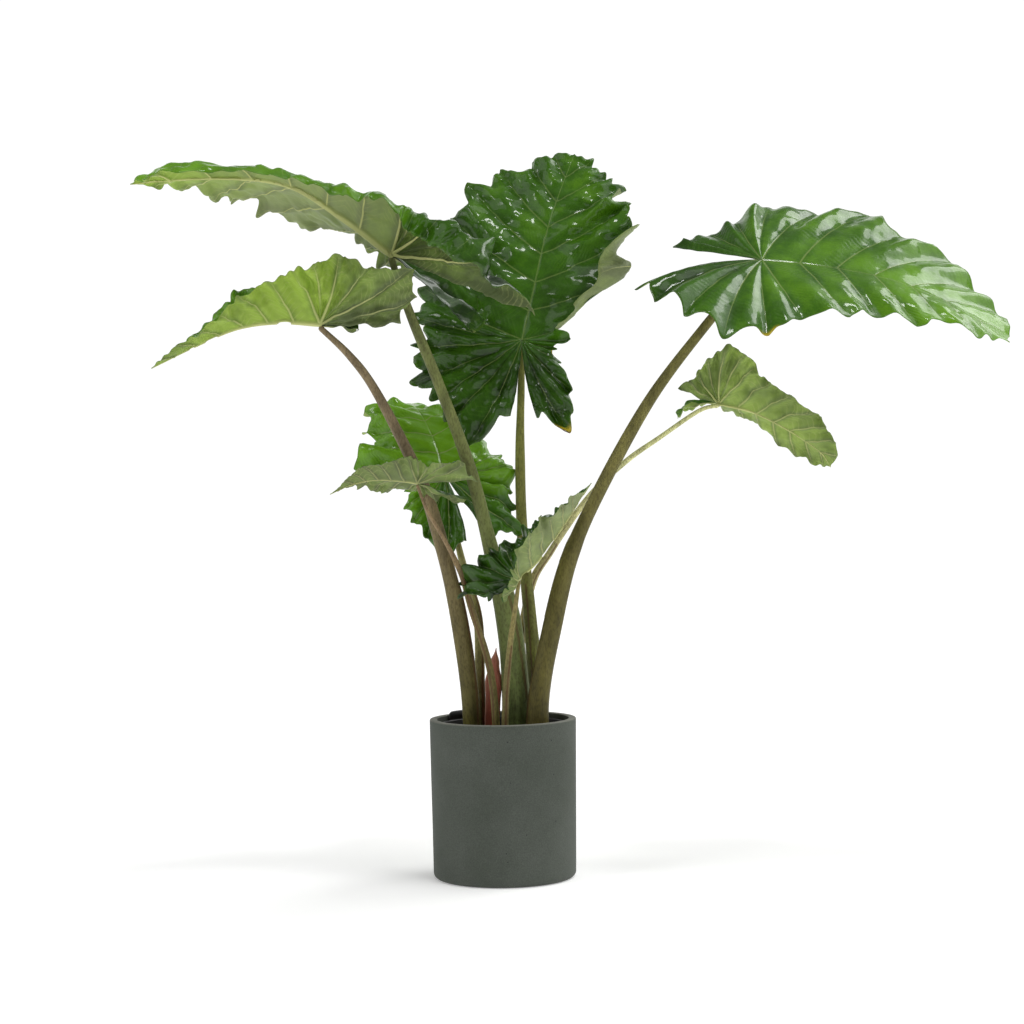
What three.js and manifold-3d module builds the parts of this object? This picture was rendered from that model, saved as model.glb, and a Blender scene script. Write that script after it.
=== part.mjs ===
// A potted upright elephant ear: eight arrow-shaped leaves on long stalks, rooted in the soil of a
// nursery pot that stands inside a cast planter. Millimetres, +Z up. The origin is the middle of the
// planter's underside, and the front of the plant faces -Y.
import * as THREE from "three";
import { mergeVertices } from "three/addons/utils/BufferGeometryUtils.js";
import Module from "manifold-3d";

const wasm = await Module();
wasm.setup();

// Driving dimensions of the pots, the soil and what every leaf has in common.
const CLEARANCE = 0.3;
const PLANTER = {
  height: 335,
  rimRadius: 155,
  footRadius: 151,
  wall: 16,
  floor: 22,
  footRound: 11,
  rimRound: 2.5,
  sides: 56,
};
const GROW_POT = {
  top: 324,
  rimRadius: 137,
  footRadius: 112,
  wall: 2.5,
  lip: 3,
  lipHeight: 7,
  lugTop: 343,
  lugFrom: 118,
  lugTo: 149,
  sides: 48,
};
const SOIL = { top: 297, crown: 6, sides: 40 };
const BLADE = {
  thickness: 1.8,
  midribDepth: 5,
  midribTipDepth: 1,
  veinDepth: 1.6,
  tipAngle: 38,
  hubAngle: 75,
  lastAngle: 172,
  bend: 18,
  notch: 0.05,
  quilt: 0.055,
  ruffle: 0.085,
  wave: 0.05,
  waveVeins: 3.7,
  unevenness: 0.5,
  curlFrom: 0.7,
  curlTo: 0.85,
  rows: [0, 0.13, 0.42, 0.72, 1],
  stepsPerRow: 4,
};
const STEM = { sides: 9, steps: 18 };
const BUD_SHEATH = {
  line: [[-28, 5, 252], [-20, 5, 373], [-17, 6, 436], [-12, 8, 483]],
  radii: [10, 16, 18, 10, 1],
  flatness: 0.4,
};

// Each leaf's own dimensions. midrib runs from the hub, where the stalk ends, to the tip. heading is
// the compass bearing of the blade and roll turns it about its midrib, in degrees, hub to tip. front
// and back are the lengths of the side veins as shares of the midrib, from the tip to the hub and from
// the hub to the end of the back lobe. fold lifts a half about the midrib, droop bends its veins down
// over their whole length and curl rolls their ends up, each from the tip over the hub to the back.
// stem is the stalk's centre line from its foot in the soil.
const LEAVES = [
  {
    name: "right_high",
    midrib: [[557, -40, 1292], [686, -45, 1277], [832, -55, 1243], [958, -70, 1186], [1064, -85, 1110]],
    heading: [-2, -6, -10],
    roll: [-28, -26, -10],
    right: {
      front: [0.11, 0.22, 0.225, 0.31, 0.31, 0.38, 0.4],
      back: [0.46, 0.53, 0.52, 0.5, 0.54],
      fold: [0, 0, 0],
      droop: [-18, -22, -15],
    },
    left: {
      front: [0.16, 0.3, 0.38, 0.47, 0.45, 0.6, 0.56],
      back: [0.49, 0.39, 0.36, 0.39, 0.36],
      fold: [8, 12, 0],
      droop: [-10, -12, -10],
    },
    stem: [[71, -41, 256], [75, -41, 376], [102, -38, 510], [144, -32, 669], [211, -30, 815],
      [319, -30, 1003], [432, -30, 1150], [500, -34, 1226], [557, -40, 1288]],
    stemRadii: [25, 20, 14, 10, 6],
    columnsPerVein: 3,
    seed: 3,
  },
  {
    name: "left_high",
    midrib: [[-218, -90, 1308], [-311, -100, 1380], [-430, -125, 1451], [-583, -145, 1464],
      [-743, -165, 1452]],
    heading: [178, 186, 190],
    roll: [-12, -12, -6],
    right: {
      front: [0.08, 0.15, 0.19, 0.27, 0.33, 0.36, 0.32],
      back: [0.3, 0.33, 0.42, 0.47, 0.42],
      fold: [0, -2, -6, -8, 12, 15, 20, 28, 28],
      droop: [-10, -10, -10],
      lastAngle: 182,
    },
    left: {
      front: [0.17, 0.25, 0.19, 0.16, 0.2, 0.28, 0.32],
      back: [0.32, 0.4, 0.52, 0.53, 0.58],
      fold: [45, 40, 45, 70, 68, 50, 42, 35, 25],
      droop: [-60, -75, -105, -125, -100, -50, -30, -20, 0],
      curl: [0, 0, 0, 0, 0, -90, -130, -70, 0],
      lastAngle: 160,
    },
    stem: [[29, 0, 252], [27, 0, 394], [14, -12, 543], [-20, -28, 696], [-63, -42, 869],
      [-127, -55, 1050], [-183, -68, 1193], [-218, -90, 1302]],
    stemRadii: [32, 26, 14, 11, 7],
    columnsPerVein: 3,
    seed: 4,
  },
  {
    name: "left_middle",
    midrib: [[-367, -95, 1167], [-449, -99, 1172], [-535, -107, 1160], [-622, -120, 1123],
      [-711, -135, 1078]],
    heading: [182, 186, 190],
    roll: [0, 0, 0],
    right: {
      front: [0.09, 0.13, 0.17, 0.215, 0.31, 0.36, 0.38],
      back: [0.42, 0.4, 0.36, 0.28, 0.24],
      fold: [15, 48, 50, 20, -10],
      droop: [0, 0, -10],
      lastAngle: 172,
    },
    left: {
      front: [0.1, 0.13, 0.16, 0.2, 0.26, 0.31, 0.38],
      back: [0.43, 0.46, 0.48, 0.65, 0.6, 0.46],
      fold: [15, 54, 50],
      droop: [0, 0, 0],
      lastAngle: 185,
    },
    stem: [[-64, -18, 255], [-70, -20, 397], [-89, -25, 545], [-114, -35, 668], [-152, -48, 809],
      [-186, -58, 891], [-256, -74, 1030], [-306, -85, 1100], [-367, -95, 1160]],
    stemRadii: [18, 18, 15, 12, 9, 6],
    columnsPerVein: 3,
    seed: 5,
  },
  {
    name: "back_high",
    midrib: [[52, 60, 1139], [78, 100, 1247], [106, 150, 1367], [141, 205, 1474], [177, 260, 1566]],
    heading: [80, 80, 80],
    roll: [0, 0, 0],
    right: {
      front: [0.155, 0.27, 0.4, 0.46, 0.5, 0.63, 0.24],
      back: [0.21, 0.15, 0.19, 0.35, 0.48, 0.35],
      fold: [0, 0, 0],
      droop: [-10, -10, -10, 30, 20, 0, 0, 0, -10],
      curl: [0, 0, 0, 0, 0, 0, 150, 60, 0, 0, 0, 0, 0, 0, 0],
      lastAngle: 168,
    },
    left: {
      front: [0.165, 0.29, 0.42, 0.52, 0.54, 0.54, 0.6],
      back: [0.5, 0.47, 0.515, 0.46, 0.48, 0.52, 0.36],
      fold: [0, 0, 0],
      droop: [-10, -10, -10],
      lastAngle: 190,
    },
    stem: [[72, 48, 245], [72, 50, 389], [61, 60, 538], [47, 92, 731], [45, 98, 904], [49, 86, 1033],
      [52, 62, 1132]],
    stemRadii: [18, 16, 13, 11, 8, 6],
    columnsPerVein: 3,
    seed: 6,
  },
  {
    name: "right_low",
    midrib: [[481, 150, 999], [560, 155, 979], [644, 165, 934], [704, 175, 892], [729, 185, 858]],
    heading: [12, 8, 5],
    roll: [50, 50, 40],
    right: {
      front: [0.13, 0.23, 0.28, 0.35, 0.3, 0.33, 0.45],
      back: [0.5, 0.52, 0.42, 0.34, 0.31, 0.34],
      fold: [0, 0, 0],
      droop: [0, 0, 0],
      lastAngle: 178,
    },
    left: {
      front: [0.14, 0.2, 0.22, 0.22, 0.19, 0.26, 0.26],
      back: [0.36, 0.38, 0.36, 0.38, 0.34],
      fold: [0, 0, 50, 58, 50],
      droop: [0, 0, 0, -20, -60],
    },
    stem: [[16, 62, 244], [29, 72, 409], [62, 98, 601], [107, 108, 682], [191, 115, 798], [273, 125, 875],
      [350, 128, 928], [435, 130, 984], [481, 142, 996]],
    stemRadii: [10, 9, 7, 6, 5, 4],
    columnsPerVein: 2,
    seed: 7,
  },
  {
    name: "left_low_back",
    midrib: [[-119, 60, 854], [-137, 115, 917], [-163, 180, 972], [-185, 250, 1004], [-200, 330, 1016],
      [-208, 400, 1000]],
    heading: [98, 98, 98],
    roll: [0, 0, 0],
    backRise: -20,
    right: {
      front: [0.1, 0.16, 0.2, 0.25, 0.3, 0.34, 0.375],
      back: [0.38, 0.4, 0.42, 0.48, 0.42],
      fold: [0, 0, 0],
      droop: [-20, -20, -20],
      lastAngle: 158,
    },
    left: {
      front: [0.1, 0.2, 0.28, 0.36, 0.4, 0.39, 0.49],
      back: [0.31, 0.22, 0.27, 0.31, 0.36, 0.47, 0.37],
      fold: [0, 0, 0],
      droop: [-20, -20, -20],
      lastAngle: 200,
    },
    stem: [[-46, 25, 250], [-48, 28, 392], [-50, 38, 541], [-73, 48, 629], [-93, 58, 712], [-111, 62, 798],
      [-119, 60, 850]],
    stemRadii: [12, 10, 8, 6, 5],
    columnsPerVein: 2,
    seed: 8,
  },
  {
    name: "left_low_front",
    midrib: [[-169, -120, 835], [-214, -122, 841], [-261, -127, 842], [-306, -135, 832], [-347, -145, 814]],
    heading: [182, 186, 188],
    roll: [-20, -20, -10],
    right: {
      front: [0.05, 0.09, 0.14, 0.36, 0.36, 0.45, 0.42],
      back: [0.26, 0.3, 0.42, 0.6, 0.66],
      fold: [0, 8, 5, 0, -8],
      droop: [-10, -10, -10],
    },
    left: {
      front: [0.06, 0.13, 0.215, 0.29, 0.3, 0.3, 0.37],
      back: [0.35, 0.34, 0.53, 0.6, 0.68],
      fold: [20, 25, 20],
      droop: [0, 0, 0],
    },
    stem: [[-11, -60, 260], [-23, -52, 430], [-63, -38, 572], [-79, -38, 633], [-97, -60, 678],
      [-117, -84, 718], [-150, -106, 779], [-169, -120, 830]],
    stemRadii: [8, 7, 6, 4, 3],
    columnsPerVein: 2,
    seed: 9,
  },
  {
    name: "front_low",
    midrib: [[38, -120, 634], [80, -112, 674], [122, -102, 729], [158, -92, 782], [191, -82, 830]],
    heading: [15, 15, 15],
    roll: [0, 0, 0],
    right: {
      front: [0.08, 0.14, 0.2, 0.26, 0.3, 0.32, 0.24],
      back: [0.18, 0.17, 0.22, 0.27, 0.24],
      fold: [30, 60, 60, 20, -10],
      droop: [0, 0, 0],
    },
    left: {
      front: [0.08, 0.13, 0.2, 0.27, 0.32, 0.36, 0.4],
      back: [0.4, 0.47, 0.54, 0.5, 0.3],
      fold: [25, 45, 30],
      droop: [0, 0, 0],
    },
    stem: [[2, -72, 261], [8, -76, 401], [18, -90, 496], [29, -106, 569], [38, -120, 630]],
    stemRadii: [7, 7, 6, 5, 4],
    columnsPerVein: 2,
    seed: 10,
  },
];

const MATERIALS = {
  planter: new THREE.MeshStandardMaterial({ color: 0x5a6059, roughness: 0.85, metalness: 0 }),
  growPot: new THREE.MeshStandardMaterial({ color: 0x1b1b1d, roughness: 0.5, metalness: 0 }),
  soil: new THREE.MeshStandardMaterial({ color: 0x33261c, roughness: 1, metalness: 0 }),
  stem: new THREE.MeshStandardMaterial({ color: 0x6e6a38, roughness: 0.55, metalness: 0 }),
  blade: new THREE.MeshStandardMaterial({ color: 0x3c6b26, roughness: 0.4, metalness: 0 }),
  budSheath: new THREE.MeshStandardMaterial({ color: 0xb06a5c, roughness: 0.6, metalness: 0 }),
};

// Solids and meshes

function toSolid(geometry) {
  const bare = geometry.clone();
  bare.deleteAttribute("normal");
  bare.deleteAttribute("uv");
  const merged = mergeVertices(bare, 1e-3);
  return new wasm.Manifold(
    new wasm.Mesh({
      numProp: 3,
      vertProperties: new Float32Array(merged.attributes.position.array),
      triVerts: new Uint32Array(merged.index.array),
    }),
  );
}

function toGeometry(solid) {
  const mesh = solid.getMesh();
  return surface(mesh.vertProperties, mesh.triVerts);
}

function surface(positions, triangles) {
  const geometry = new THREE.BufferGeometry();
  geometry.setAttribute("position", new THREE.BufferAttribute(new Float32Array(positions), 3));
  geometry.setIndex(Array.from(triangles));
  geometry.computeVertexNormals();
  return geometry;
}

// The largest body left of a stalk when its blade is cut away, also a little below and behind its place.
function cutClear(stalk, blade, { forward, up }) {
  const below = up.clone().multiplyScalar(-1.3 * CLEARANCE);
  const behind = below.clone().addScaledVector(forward, -1.3 * CLEARANCE);
  const rest = [below, behind].reduce(
    (left, move) => left.subtract(blade.translate(move.toArray())),
    stalk.subtract(blade),
  );
  return rest.simplify(0.2 * CLEARANCE).decompose().sort((a, b) => b.volume() - a.volume())[0];
}

function part(name, geometry, material) {
  const mesh = new THREE.Mesh(geometry, material.clone());
  mesh.name = name;
  return mesh;
}

// Pots and soil: a profile of radius and height, turned about the upright axis.

function turned(profile, sides) {
  const points = profile.map(([radius, height]) => new THREE.Vector2(radius, height));
  return new THREE.LatheGeometry(points, sides).rotateX(Math.PI / 2);
}

function roundCorner(radius, height, round, fromDegrees, toDegrees, steps) {
  return Array.from({ length: steps + 1 }, (_, i) => {
    const angle = THREE.MathUtils.degToRad(fromDegrees + ((toDegrees - fromDegrees) * i) / steps);
    return [radius + round * Math.cos(angle), height + round * Math.sin(angle)];
  });
}

function planterGeometry() {
  const { height, rimRadius, footRadius, wall, floor, footRound, rimRound, sides } = PLANTER;
  return turned(
    [
      [0, 0],
      ...roundCorner(footRadius - footRound, footRound, footRound, -90, 0, 4),
      ...roundCorner(rimRadius - rimRound, height - rimRound, rimRound, 0, 90, 2),
      ...roundCorner(rimRadius - wall + rimRound, height - rimRound, rimRound, 90, 180, 2),
      [footRadius - wall, floor],
      [0, floor],
    ],
    sides,
  );
}

function growPotGeometry() {
  const { top, rimRadius, footRadius, wall, lip, lipHeight, lugTop, lugFrom, lugTo, sides } = GROW_POT;
  const foot = PLANTER.floor + CLEARANCE;
  const pot = turned(
    [
      [0, foot],
      [footRadius, foot],
      [rimRadius - lip, top - lipHeight],
      [rimRadius, top - lipHeight],
      [rimRadius, top],
      [rimRadius - lip - wall, top],
      [footRadius - wall, foot + wall],
      [0, foot + wall],
    ],
    sides,
  );
  const [from, to] = [lugFrom, lugTo].map(THREE.MathUtils.degToRad);
  const lugShape = new THREE.Shape()
    .absarc(0, 0, rimRadius, from, to, false)
    .absarc(0, 0, rimRadius - lip, to, from, true);
  const lug = new THREE.ExtrudeGeometry(lugShape, {
    depth: lugTop - top + lipHeight / 2,
    curveSegments: 6,
    bevelEnabled: false,
  }).translate(0, 0, top - lipHeight / 2);
  return toGeometry(toSolid(pot).add(toSolid(lug)));
}

function soilSolid() {
  const bottom = PLANTER.floor + GROW_POT.wall + 2 * CLEARANCE;
  const slope = (GROW_POT.rimRadius - GROW_POT.lip - GROW_POT.footRadius)
    / (GROW_POT.top - GROW_POT.lipHeight - PLANTER.floor);
  const inside = (height) => GROW_POT.footRadius - GROW_POT.wall - 2 * CLEARANCE + slope * (height - bottom);
  return toSolid(
    turned(
      [
        [0, bottom],
        [inside(bottom), bottom],
        [inside(SOIL.top), SOIL.top],
        [0.6 * inside(SOIL.top), SOIL.top + 0.7 * SOIL.crown],
        [0, SOIL.top + SOIL.crown],
      ],
      SOIL.sides,
    ),
  );
}

// Stalks: rings of points round a centre line, with a radius read off along it.

function smooth(x) {
  return x * x * (3 - 2 * x);
}

// The value at the share x of a list of values, with a smooth step from each to the next.
function along(values, x) {
  const place = THREE.MathUtils.clamp(x, 0, 1) * (values.length - 1);
  const i = Math.min(Math.floor(place), values.length - 2);
  return values[i] + (values[i + 1] - values[i]) * smooth(place - i);
}

function lineThrough(points) {
  return new THREE.CatmullRomCurve3(points.map((p) => new THREE.Vector3(...p)), false, "catmullrom", 0.5);
}

function stalkGeometry(line, radii, { grow = 0, flatness = 1, steps = STEM.steps } = {}) {
  const curve = lineThrough(line);
  const sides = STEM.sides;
  const positions = [];
  for (let j = 0; j <= steps; j++) {
    const u = j / steps;
    const centre = curve.getPoint(u);
    const tangent = curve.getTangent(u);
    // The clearance also runs a little past both ends of the line.
    if (j === 0) centre.addScaledVector(tangent, -grow);
    if (j === steps) centre.addScaledVector(tangent, grow);
    const across = new THREE.Vector3(0, 1, 0).cross(tangent).normalize();
    const depth = tangent.clone().cross(across);
    const radius = along(radii, u) + grow;
    for (let i = 0; i < sides; i++) {
      const angle = (2 * Math.PI * i) / sides;
      const point = centre
        .clone()
        .addScaledVector(across, radius * Math.cos(angle))
        .addScaledVector(depth, radius * flatness * Math.sin(angle));
      positions.push(point.x, point.y, point.z);
    }
  }
  const triangles = [];
  for (let j = 0; j < steps; j++) {
    for (let i = 0; i < sides; i++) {
      const next = (i + 1) % sides;
      const [a, b] = [j * sides + i, j * sides + next];
      triangles.push(a, b, b + sides, a, b + sides, a + sides);
    }
  }
  for (let i = 1; i < sides - 1; i++) {
    triangles.push(0, i + 1, i);
    triangles.push(steps * sides, steps * sides + i, steps * sides + i + 1);
  }
  return surface(positions, triangles);
}

// Blades. A blade is two halves, each a fan of veins that leave the midrib in front of the hub and
// leave the hub itself behind it. The surface bulges between the veins, and the margin is waved.

// A repeatable draw between -1 and 1 for the interval k of the half with that seed.
function draw(k, seed) {
  const x = Math.sin(12.9898 * k + 78.233 * seed) * 43758.5453;
  return 2 * (x - Math.floor(x)) - 1;
}

function spline(values, q) {
  const last = values.length - 1;
  const i = THREE.MathUtils.clamp(Math.floor(q), 0, last - 1);
  const [p0, p1, p2, p3] = [Math.max(i - 1, 0), i, i + 1, Math.min(i + 2, last)].map((k) => values[k]);
  const f = q - i;
  return p1 + 0.5 * f * (p2 - p0 + f * (2 * p0 - 5 * p1 + 4 * p2 - p3 + f * (3 * (p1 - p2) + p3 - p0)));
}

function turnedBy(angle, first, second) {
  return [
    first.clone().multiplyScalar(Math.cos(angle)).addScaledVector(second, Math.sin(angle)),
    second.clone().multiplyScalar(Math.cos(angle)).addScaledVector(first, -Math.sin(angle)),
  ];
}

// The midrib at the share s of its length: the point, the way on, the way to the right and up.
function midribAt(leaf, curve, s) {
  const forward = curve.getTangentAt(s);
  const bearing = THREE.MathUtils.degToRad(along(leaf.heading, s));
  const level = new THREE.Vector3(Math.sin(bearing), -Math.cos(bearing), 0);
  level.addScaledVector(forward, -level.dot(forward)).normalize();
  const [right, up] = turnedBy(
    THREE.MathUtils.degToRad(along(leaf.roll, s)),
    level,
    level.clone().cross(forward),
  );
  return { point: curve.getPointAt(s), forward, right, up };
}

// The points of one vein at the blade's rows, with the direction of the upper face at each.
function veinRows(leaf, curve, which, q) {
  const half = which > 0 ? leaf.right : leaf.left;
  const frontVeins = half.front.length;
  const backVeins = half.back.length;
  const behind = Math.max(q - frontVeins, 0) / backVeins;
  const station = q <= frontVeins ? q / frontVeins / 2 : 0.5 + behind / 2;
  const start = midribAt(leaf, curve, Math.max(1 - q / frontVeins, 0));
  const length = spline([0, ...half.front, ...half.back], q) * curve.getLength();
  const veinAngle = q <= frontVeins
    ? THREE.MathUtils.lerp(BLADE.tipAngle, BLADE.hubAngle, q / frontVeins)
    : THREE.MathUtils.lerp(BLADE.hubAngle, half.lastAngle ?? BLADE.lastAngle, behind);

  const [side, normal] = turnedBy(
    THREE.MathUtils.degToRad(along(half.fold, station)),
    start.right.clone().multiplyScalar(which),
    start.up,
  );
  const rise = THREE.MathUtils.degToRad(leaf.backRise ?? 0);
  const [backward, backUp] = turnedBy(rise, start.forward.clone().negate(), start.up);
  const backNormal = normal.clone().add(backUp).sub(start.up);
  const droop = along(half.droop, station);
  const curl = along(half.curl ?? [0, 0], station);

  const direction = (t) => {
    const angle = THREE.MathUtils.degToRad(veinAngle - BLADE.bend * t);
    const ahead = Math.cos(angle);
    const way = (ahead >= 0 ? start.forward : backward)
      .clone()
      .multiplyScalar(Math.abs(ahead))
      .addScaledVector(side, Math.sin(angle))
      .normalize();
    const face = normal.clone().lerp(backNormal, Math.max(-ahead, 0));
    face.addScaledVector(way, -face.dot(way)).normalize();
    const rolled = THREE.MathUtils.smoothstep(t, BLADE.curlFrom, BLADE.curlTo);
    return turnedBy(THREE.MathUtils.degToRad(droop * t + curl * rolled), way, face);
  };

  const rows = [{ point: start.point, up: direction(0)[1] }];
  const point = start.point.clone();
  for (let j = 1; j < BLADE.rows.length; j++) {
    const from = BLADE.rows[j - 1];
    const step = (BLADE.rows[j] - from) / BLADE.stepsPerRow;
    for (let k = 0; k < BLADE.stepsPerRow; k++) {
      point.addScaledVector(direction(from + (k + 0.5) * step)[0], step * length);
    }
    rows.push({ point: point.clone(), up: direction(BLADE.rows[j])[1] });
  }
  return { rows, length };
}

// One half as columns of points from the tip to the end of the back lobe.
function halfBlade(leaf, curve, which) {
  const half = which > 0 ? leaf.right : leaf.left;
  const intervals = half.front.length + half.back.length;
  const seed = 2 * leaf.seed + (which > 0 ? 0 : 1);
  const phase = Math.PI * (1 + draw(99, seed));
  const columns = [];
  for (let c = 0; c <= intervals * leaf.columnsPerVein; c++) {
    const q = c / leaf.columnsPerVein;
    const between = Math.sin(Math.PI * (q - Math.floor(q))) ** 2;
    const uneven = 1 + BLADE.unevenness * draw(Math.floor(q), seed);
    const { rows, length } = veinRows(leaf, curve, which, q);
    const reach = Math.min(length, 0.45 * curve.getLength());
    columns.push(
      rows.map(({ point, up }, j) => {
        const t = BLADE.rows[j];
        const pulled = 1 - BLADE.notch * between * uneven * t ** 2;
        const height =
          BLADE.quilt * between * uneven * t * (1 - t ** 3) +
          BLADE.ruffle * (between - 0.45) * uneven * t ** 2.2 +
          BLADE.wave * t ** 1.5 * Math.sin((2 * Math.PI * q) / BLADE.waveVeins + phase);
        return rows[0].point.clone().lerp(point, pulled).addScaledVector(up, reach * height);
      }),
    );
  }
  return columns;
}

// A whole blade as a closed solid. Both faces stand off one middle surface along its own normals and
// are split into the same triangles, and a strip round the margin joins them.
function bladeGeometry(leaf) {
  const curve = lineThrough(leaf.midrib);
  const middle = [];
  const ribs = [];
  const add = (point, rib) => ribs.push(rib) && middle.push(point) - 1;
  const perVein = leaf.columnsPerVein;
  const hubColumn = leaf.right.front.length * perVein;
  const lastRow = BLADE.rows.length - 1;

  const midribVertices = [];
  const halves = [1, -1].map((which) =>
    halfBlade(leaf, curve, which).map((column, c) =>
      column.map((point, j) => {
        if (c === 0 && j > 0) return midribVertices[0];
        if (j === 0 && (which < 0 || c > hubColumn)) return midribVertices[Math.min(c, hubColumn)];
        const depth = THREE.MathUtils.lerp(BLADE.midribTipDepth, BLADE.midribDepth, c / hubColumn);
        const vein = c % perVein === 0 ? BLADE.veinDepth * (1 - BLADE.rows[j]) : 0;
        const vertex = add(point, j === 0 ? depth : vein);
        if (j === 0) midribVertices[c] = vertex;
        return vertex;
      }),
    ),
  );

  const faces = [];
  const face = (a, b, c) => {
    if (a !== b && b !== c && c !== a) faces.push([a, b, c]);
  };
  halves.forEach((columns, h) => {
    for (let c = 0; c < columns.length - 1; c++) {
      for (let j = 0; j < lastRow; j++) {
        const [a, b, d, e] = [columns[c][j], columns[c + 1][j], columns[c + 1][j + 1], columns[c][j + 1]];
        if (h === 0) {
          face(a, b, d);
          face(a, d, e);
        } else {
          face(a, d, b);
          face(a, e, d);
        }
      }
    }
  });

  const normals = middle.map(() => new THREE.Vector3());
  for (const [a, b, c] of faces) {
    const edge = middle[b].clone().sub(middle[a]);
    const area = edge.cross(middle[c].clone().sub(middle[a]));
    [a, b, c].forEach((v) => normals[v].add(area));
  }
  normals.forEach((normal) => normal.normalize());

  const [right, left] = halves;
  const margin = [
    ...right.map((column) => column[lastRow]),
    ...right.at(-1).slice(0, lastRow).reverse(),
    ...left.at(-1).slice(1),
    ...left.slice(1, -1).reverse().map((column) => column[lastRow]),
  ];
  const upper = middle.map((p, v) => p.clone().addScaledVector(normals[v], BLADE.thickness / 2));
  const lower = middle.map((p, v) => p.clone().addScaledVector(normals[v], -BLADE.thickness / 2 - ribs[v]));
  const count = middle.length;
  const triangles = faces.flatMap(([a, b, c]) => [a, b, c, a + count, c + count, b + count]);
  margin.forEach((v, i) => {
    const next = margin[(i + 1) % margin.length];
    triangles.push(v, next, next + count, v, next + count, v + count);
  });
  return surface([...upper, ...lower].flatMap((p) => p.toArray()), triangles);
}

// The object

const plant = new THREE.Group();
plant.add(part("planter", planterGeometry(), MATERIALS.planter));
plant.add(part("grow_pot", growPotGeometry(), MATERIALS.growPot));

let soil = soilSolid();
for (const leaf of LEAVES) {
  const stalk = toSolid(stalkGeometry(leaf.stem, leaf.stemRadii));
  const room = toSolid(stalkGeometry(leaf.stem, leaf.stemRadii, { grow: CLEARANCE }));
  const blade = bladeGeometry(leaf);
  soil = soil.subtract(room);
  const hub = midribAt(leaf, lineThrough(leaf.midrib), 0);
  plant.add(part(`stem_${leaf.name}`, toGeometry(cutClear(stalk, toSolid(blade), hub)), MATERIALS.stem));
  plant.add(part(`blade_${leaf.name}`, blade, MATERIALS.blade));
}
const { line, radii, flatness } = BUD_SHEATH;
const budSheath = stalkGeometry(line, radii, { flatness, steps: 10 });
soil = soil.subtract(toSolid(stalkGeometry(line, radii, { flatness, steps: 10, grow: CLEARANCE })));
plant.add(part("bud_sheath", budSheath, MATERIALS.budSheath));
plant.add(part("soil", toGeometry(soil), MATERIALS.soil));

export default plant;
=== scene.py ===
from itertools import combinations
from math import radians

import bpy
import numpy as np
from mathutils import Matrix, Vector


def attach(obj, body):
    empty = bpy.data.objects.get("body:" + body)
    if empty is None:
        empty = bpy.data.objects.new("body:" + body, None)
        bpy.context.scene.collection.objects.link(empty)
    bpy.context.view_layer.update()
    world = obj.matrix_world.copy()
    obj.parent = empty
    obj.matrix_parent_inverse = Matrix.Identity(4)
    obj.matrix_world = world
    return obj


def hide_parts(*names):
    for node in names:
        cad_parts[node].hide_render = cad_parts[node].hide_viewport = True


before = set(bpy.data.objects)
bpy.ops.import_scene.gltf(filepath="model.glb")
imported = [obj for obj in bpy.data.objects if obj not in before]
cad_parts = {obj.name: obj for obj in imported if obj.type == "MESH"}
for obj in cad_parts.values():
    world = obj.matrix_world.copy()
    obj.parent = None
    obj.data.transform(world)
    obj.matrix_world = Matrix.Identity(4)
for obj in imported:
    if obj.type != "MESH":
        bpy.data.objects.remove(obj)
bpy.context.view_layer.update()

CAMERA_PLACE = (0.0256, -4.588, 0.815)
CAMERA_DIP = 0.55
CAMERA_ROLL = -0.8
PHOTO_PIXELS = 1024
FOCAL_PIXELS = 2168
SENSOR_WIDTH = 36

camera = bpy.data.objects.new("camera", bpy.data.cameras.new("camera"))
camera.data.sensor_width = SENSOR_WIDTH
camera.data.lens = FOCAL_PIXELS / PHOTO_PIXELS * SENSOR_WIDTH
camera.matrix_world = (
    Matrix.Translation(CAMERA_PLACE)
    @ Matrix.Rotation(radians(90 - CAMERA_DIP), 4, "X")
    @ Matrix.Rotation(radians(CAMERA_ROLL), 4, "Z")
)
bpy.context.scene.collection.objects.link(camera)
bpy.context.scene.camera = camera
bpy.context.scene.view_settings.view_transform = "Standard"


# The studio: a dim white room that is lighter overhead, a white wall behind the plant, brightly lit up
# to some 35 degrees above the floor, five far lamps, and a pale floor that glows a little.
ROOM_HEIGHTS = (-0.2, 1.0)
ROOM_LIGHT = (0.08, 0.2)
WALL_SIDES = (0.5, 0.9)
WALL_TOP = (0.5, 0.62)
SEEN_WHITE = 1.05
# Each lamp's energy, how wide it is in degrees, and where it shines from.
LAMPS = {
    "key": (1.3, 60, (3.5, -1.3, 3.2)),
    "fill": (0.7, 60, (-4.2, -0.8, 2.4)),
    "back": (1.05, 30, (2.4, 1.5, 2.6)),
    "top": (0.5, 9, (0.3, -0.5, 2.2)),
    "window": (0.3, 12, (-2.8, -2.4, 1.5)),
}
FLOOR_HALF = 14.0
FLOOR_DROP = 0.0005
FLOOR_GREY = (0.93, 0.93, 0.93, 1)
FLOOR_GLOW = 0.22
WHITE = (1, 1, 1, 1)


def add_node(tree, kind, inputs=None, **settings):
    """A new shader node: an input given as a socket is linked to it, and any other input is set."""
    node = tree.nodes.new("ShaderNode" + kind)
    for key, value in settings.items():
        setattr(node, key, value)
    for key, value in (inputs or {}).items():
        if isinstance(value, bpy.types.NodeSocket):
            tree.links.new(value, node.inputs[key])
        else:
            node.inputs[key].default_value = value
    return node


def count(tree, operation, first, second=0.0):
    """The result of one sum, by its name, on one or two values."""
    return add_node(tree, "Math", {0: first, 1: second}, operation=operation).outputs[0]


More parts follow.
